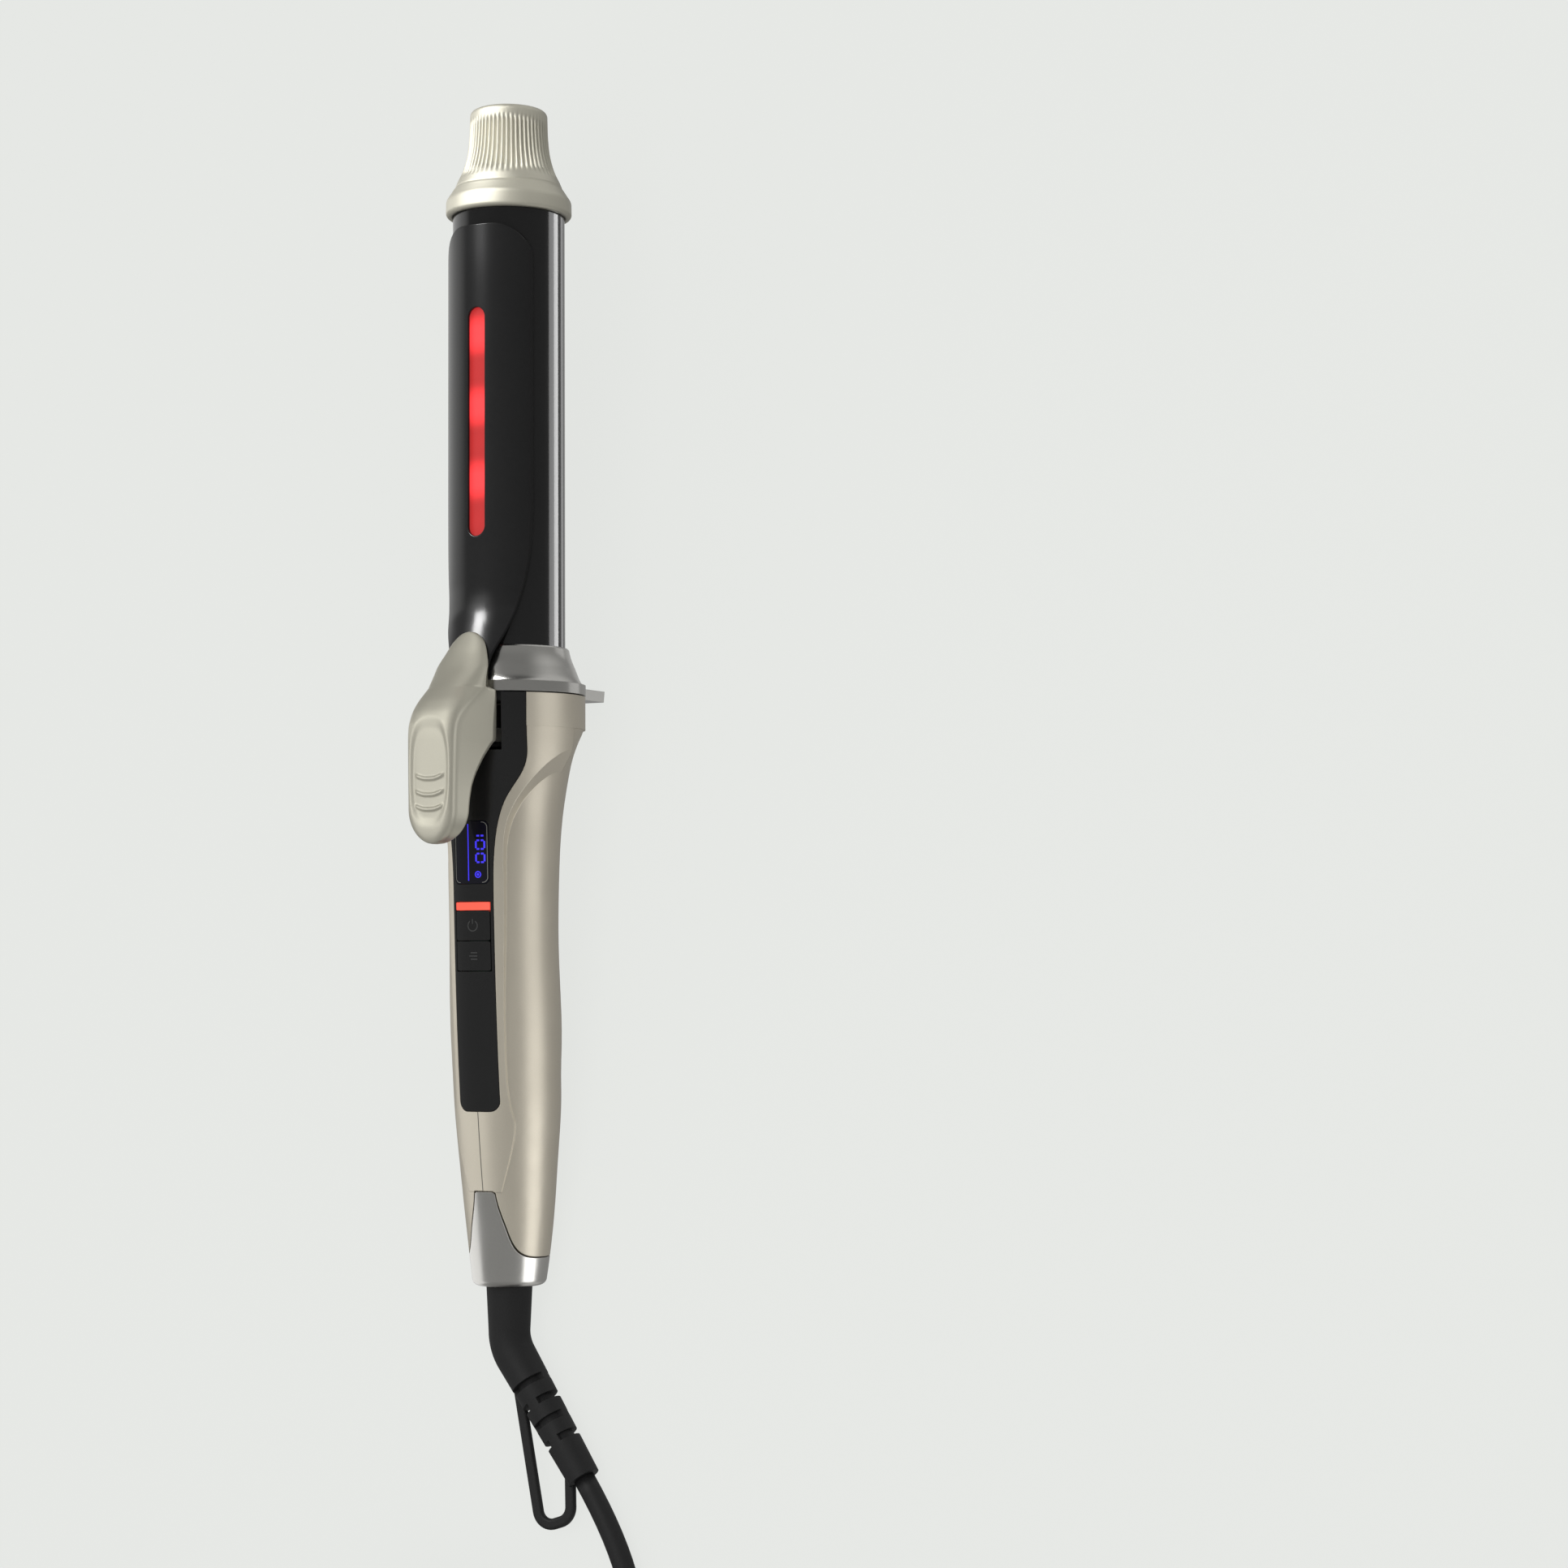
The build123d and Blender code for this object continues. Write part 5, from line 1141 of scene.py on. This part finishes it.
BACKDROP = 0.79


def studio_world():
    """A pale world for plain light, with dark surroundings and bright bands for what gloss reflects."""
    world = bpy.data.worlds.new("studio")
    world.use_nodes = True
    tree = world.node_tree
    place = add_node(tree, "ShaderNodeTexCoord").outputs["Generated"]

    def choose(factor, first, second):
        return mixed(tree, "FLOAT", factor, first, second)

    def stretch(value, near, full, last, far):
        return value_node(tree, "MULTIPLY", eased(tree, value, near, full), eased(tree, value, far, last))

    turn = value_node(tree, "ARCTAN2", part_along(tree, place, -sideways), part_along(tree, place, upward))
    share = value_node(tree, "MULTIPLY_ADD", turn, 0.5 / pi, 0.5)
    ramp = add_node(tree, "ShaderNodeFloatCurve", {"Value": share})
    top = max(strength for _, strength in BANDS)
    curve = ramp.mapping.curves[0]
    while len(curve.points) < len(BANDS):
        curve.points.new(0.5, 0.5)
    for point, (angle, strength) in zip(curve.points, BANDS):
        point.location = (angle / 360 + 0.5, strength / top)
        point.handle_type = "VECTOR"
    ramp.mapping.update()
    bands = value_node(tree, "MULTIPLY", ramp.outputs["Value"], top)
    tipward = part_along(tree, place, along)
    gloss = choose(stretch(tipward, *BAND_REACH), SURROUND, bands)
    for (reach, turns, tones), way in ((ENDS, value_node(tree, "ABSOLUTE", tipward)), (TIP, tipward)):
        gloss = choose(eased(tree, way, *reach), gloss, choose(eased(tree, turn, *turns), *tones))
    aside = value_node(tree, "ABSOLUTE", value_node(tree, "ADD", turn, BOX_TURN))
    box = value_node(tree, "MULTIPLY", eased(tree, aside, *BOX_FADE), stretch(tipward, *BOX_REACH))
    gloss = choose(box, gloss, SOFT_BOX)
    height = part_along(tree, place, Vector((0, 0, 1)))
    plain = choose(eased(tree, height, *SKY_RISE), *PLAIN_LIGHT)
    path = add_node(tree, "ShaderNodeLightPath").outputs
    seen = choose(path["Is Camera Ray"], choose(path["Is Glossy Ray"], plain, gloss), BACKDROP)
    feed(tree, tree.nodes["Background"], {"Color": SKY_TINT, "Strength": seen})
    return world


HANDLE = ("handle_left", "handle_right")
SILVER = ("end_cap",)
LAMPS = {
    # degrees round the iron's axis, station, distance, station it faces, size along and across, power,
    # and the pieces that it lights, or none for all
    "left": (-50.0, -130.0, 0.5, -130.0, (0.7, 0.9), 1.4, HANDLE),
    "right": (94.0, -110.0, 0.5, -110.0, (0.5, 0.34), 0.55, HANDLE + SILVER),
    "right_end": (96.0, -330.0, 0.5, -140.0, (0.3, 0.35), 0.45, HANDLE + SILVER),
    "end": (-96.0, -300.0, 0.5, -150.0, (0.5, 0.75), 0.88, SILVER),
    "lever": (-28.0, -20.0, 0.5, -20.0, (0.5, 0.5), 0.6, ("lever",)),
    "lever_side": (110.0, -20.0, 0.5, -20.0, (0.4, 0.4), 0.4, ("lever",)),
    "lever_front": (0.0, 500.0, 0.2, 5.0, (0.4, 0.4), 0.25, ("lever",)),
    "cap": (-27.0, 420.0, 0.5, 200.0, (0.9, 0.9), 6.4, ("cap",)),
    "cap_side": (120.0, 300.0, 0.5, 150.0, (0.7, 0.9), 0.3, ("cap",)),
    "clamp": (-24.0, 380.0, 0.5, 35.0, (0.16, 0.18), 2.2, ("clamp_sheet",)),
    "collar": (-18.0, 500.0, 0.2, 3.0, (0.2, 0.15), 0.7, ("stand_collar",)),
    "tab": (147.0, 60.0, 0.5, 5.0, (0.3, 0.25), 0.06, ("stand_collar",)),
    "stripe": (131.0, 165.0, 0.5, 165.0, (0.5, 0.158), 0.62, ("barrel_tube",)),
    "stripe_core": (145.5, 165.0, 0.5, 165.0, (0.5, 0.123), 1.12, ("barrel_tube",)),
    "stripe_edge": (172.0, 165.0, 0.5, 165.0, (0.5, 0.105), 0.14, ("barrel_tube",)),
    "fill": (10.0, 0.0, 1.0, 0.0, (0.9, 0.6), 3.0, ()),
}


def soft_box(name):
    """A soft light that faces the iron. One that names pieces lights only those and shows in their gloss."""
    angle, station, distance, faced, size, power, pieces = LAMPS[name]
    data = bpy.data.lights.new(name, "AREA")
    data.shape = "RECTANGLE"
    data.size, data.size_y = size
    data.energy = power
    lamp = bpy.data.objects.new(name, data)
    turn = radians(angle)
    way = upward * cos(turn) - sideways * sin(turn)
    place = tool_point(0, 0, station) + way * distance
    back = (place - tool_point(0, 0, faced)).normalized()
    across = back.cross(along).normalized()
    lamp.matrix_world = Matrix.Translation(place) @ Matrix(
        (across.cross(back), across, back)).transposed().to_4x4()
    lamp.visible_glossy = bool(pieces)
    if pieces:
        receivers = bpy.data.collections.new(name)
        for piece in pieces:
            receivers.objects.link(frame["nodes"].get(piece) or bpy.data.objects[piece])
        lamp.light_linking.receiver_collection = receivers
    bpy.context.scene.collection.objects.link(lamp)


CAMERA_RIGHT = Vector((0.06035, -0.88344, -0.46464))
CAMERA_UP = Vector((0.98284, -0.02869, 0.18222))
CAMERA_BACK = Vector((-0.17432, -0.46766, 0.86655))
SENSOR_WIDTH = 36.0
NEAREST = 0.01
FLOOR_HALF = 4.0
FLOOR_LEVEL = -0.0002
FLOOR_SHADES = (0.1, 0.105)  # what the table's grain gives back of the studio's light


class IRON_OT_stage(bpy.types.Operator):
    """Sets the camera, the pale table and the studio light"""

    bl_idname = "iron.stage"
    bl_label = "Stage"

    def execute(self, context):
        scene = context.scene
        stage = scene.iron_stage
        scene.view_settings.view_transform = "Standard"
        data = bpy.data.cameras.new("camera")
        data.sensor_width = SENSOR_WIDTH
        data.lens = data.sensor_width * stage.focal_pixels / stage.picture_side
        data.clip_start = NEAREST
        camera = bpy.data.objects.new("camera", data)
        turn = Matrix((CAMERA_RIGHT, CAMERA_UP, CAMERA_BACK)).transposed()
        camera.matrix_world = Matrix.Translation(Vector(stage.camera_place)) @ turn.to_4x4()
        scene.collection.objects.link(camera)
        scene.camera = camera

        mesh = bpy.data.meshes.new("floor")
        signs = ((-1, -1), (1, -1), (1, 1), (-1, 1))
        corners = [(x * FLOOR_HALF, y * FLOOR_HALF, FLOOR_LEVEL) for x, y in signs]
        mesh.from_pydata(corners, [], [(0, 1, 2, 3)])
        floor = add_piece("floor", mesh)
        tone = tuple(stage.floor_tone)
        table = finish_material(
            "PaleTable", [shade(tone, share) for share in FLOOR_SHADES], (0.8, 0.9), grain=(300.0, 8.0),
            bump=0.01)
        feed(table.node_tree, table.node_tree.nodes["Principled BSDF"], {
            "Emission Color": (*tone, 1), "Emission Strength": stage.floor_glow, "Specular IOR Level": 0.0,
        })
        mesh.materials.append(table)
        floor.visible_glossy = False
        floor.visible_diffuse = False
        floor.visible_shadow = False

        scene.world = studio_world()
        for name in LAMPS:
            soft_box(name)
        return {"FINISHED"}


BUILDERS = (
    IRON_OT_finishes, IRON_OT_cord, IRON_OT_cap, IRON_OT_clamp, IRON_OT_lever, IRON_OT_display, IRON_OT_keys,
    IRON_OT_lights, IRON_OT_stage,
)


class IRON_PT_panel(bpy.types.Panel):
    """Lists the builders of the iron"""

    bl_idname = "IRON_PT_panel"
    bl_label = "Curling Iron"
    bl_space_type = "VIEW_3D"
    bl_region_type = "UI"
    bl_category = "Iron"

    def draw(self, context):
        for builder in BUILDERS:
            self.layout.operator(builder.bl_idname)


CLASSES = (IronFinish, IronSizes, IronStage, *BUILDERS, IRON_PT_panel)


def register():
    for entry in CLASSES:
        bpy.utils.register_class(entry)
    bpy.types.Scene.iron_finish = PointerProperty(type=IronFinish)
    bpy.types.Scene.iron_sizes = PointerProperty(type=IronSizes)
    bpy.types.Scene.iron_stage = PointerProperty(type=IronStage)


def unregister():
    del bpy.types.Scene.iron_stage
    del bpy.types.Scene.iron_sizes
    del bpy.types.Scene.iron_finish
    for entry in reversed(CLASSES):
        bpy.utils.unregister_class(entry)


def main():
    register()
    bpy.ops.iron.finishes()
    bpy.ops.iron.cord()
    bpy.ops.iron.cap()
    bpy.ops.iron.clamp()
    bpy.ops.iron.lever()
    bpy.ops.iron.display()
    bpy.ops.iron.keys()
    bpy.ops.iron.lights()
    bpy.ops.iron.stage()


if __name__ == "__main__":
    main()
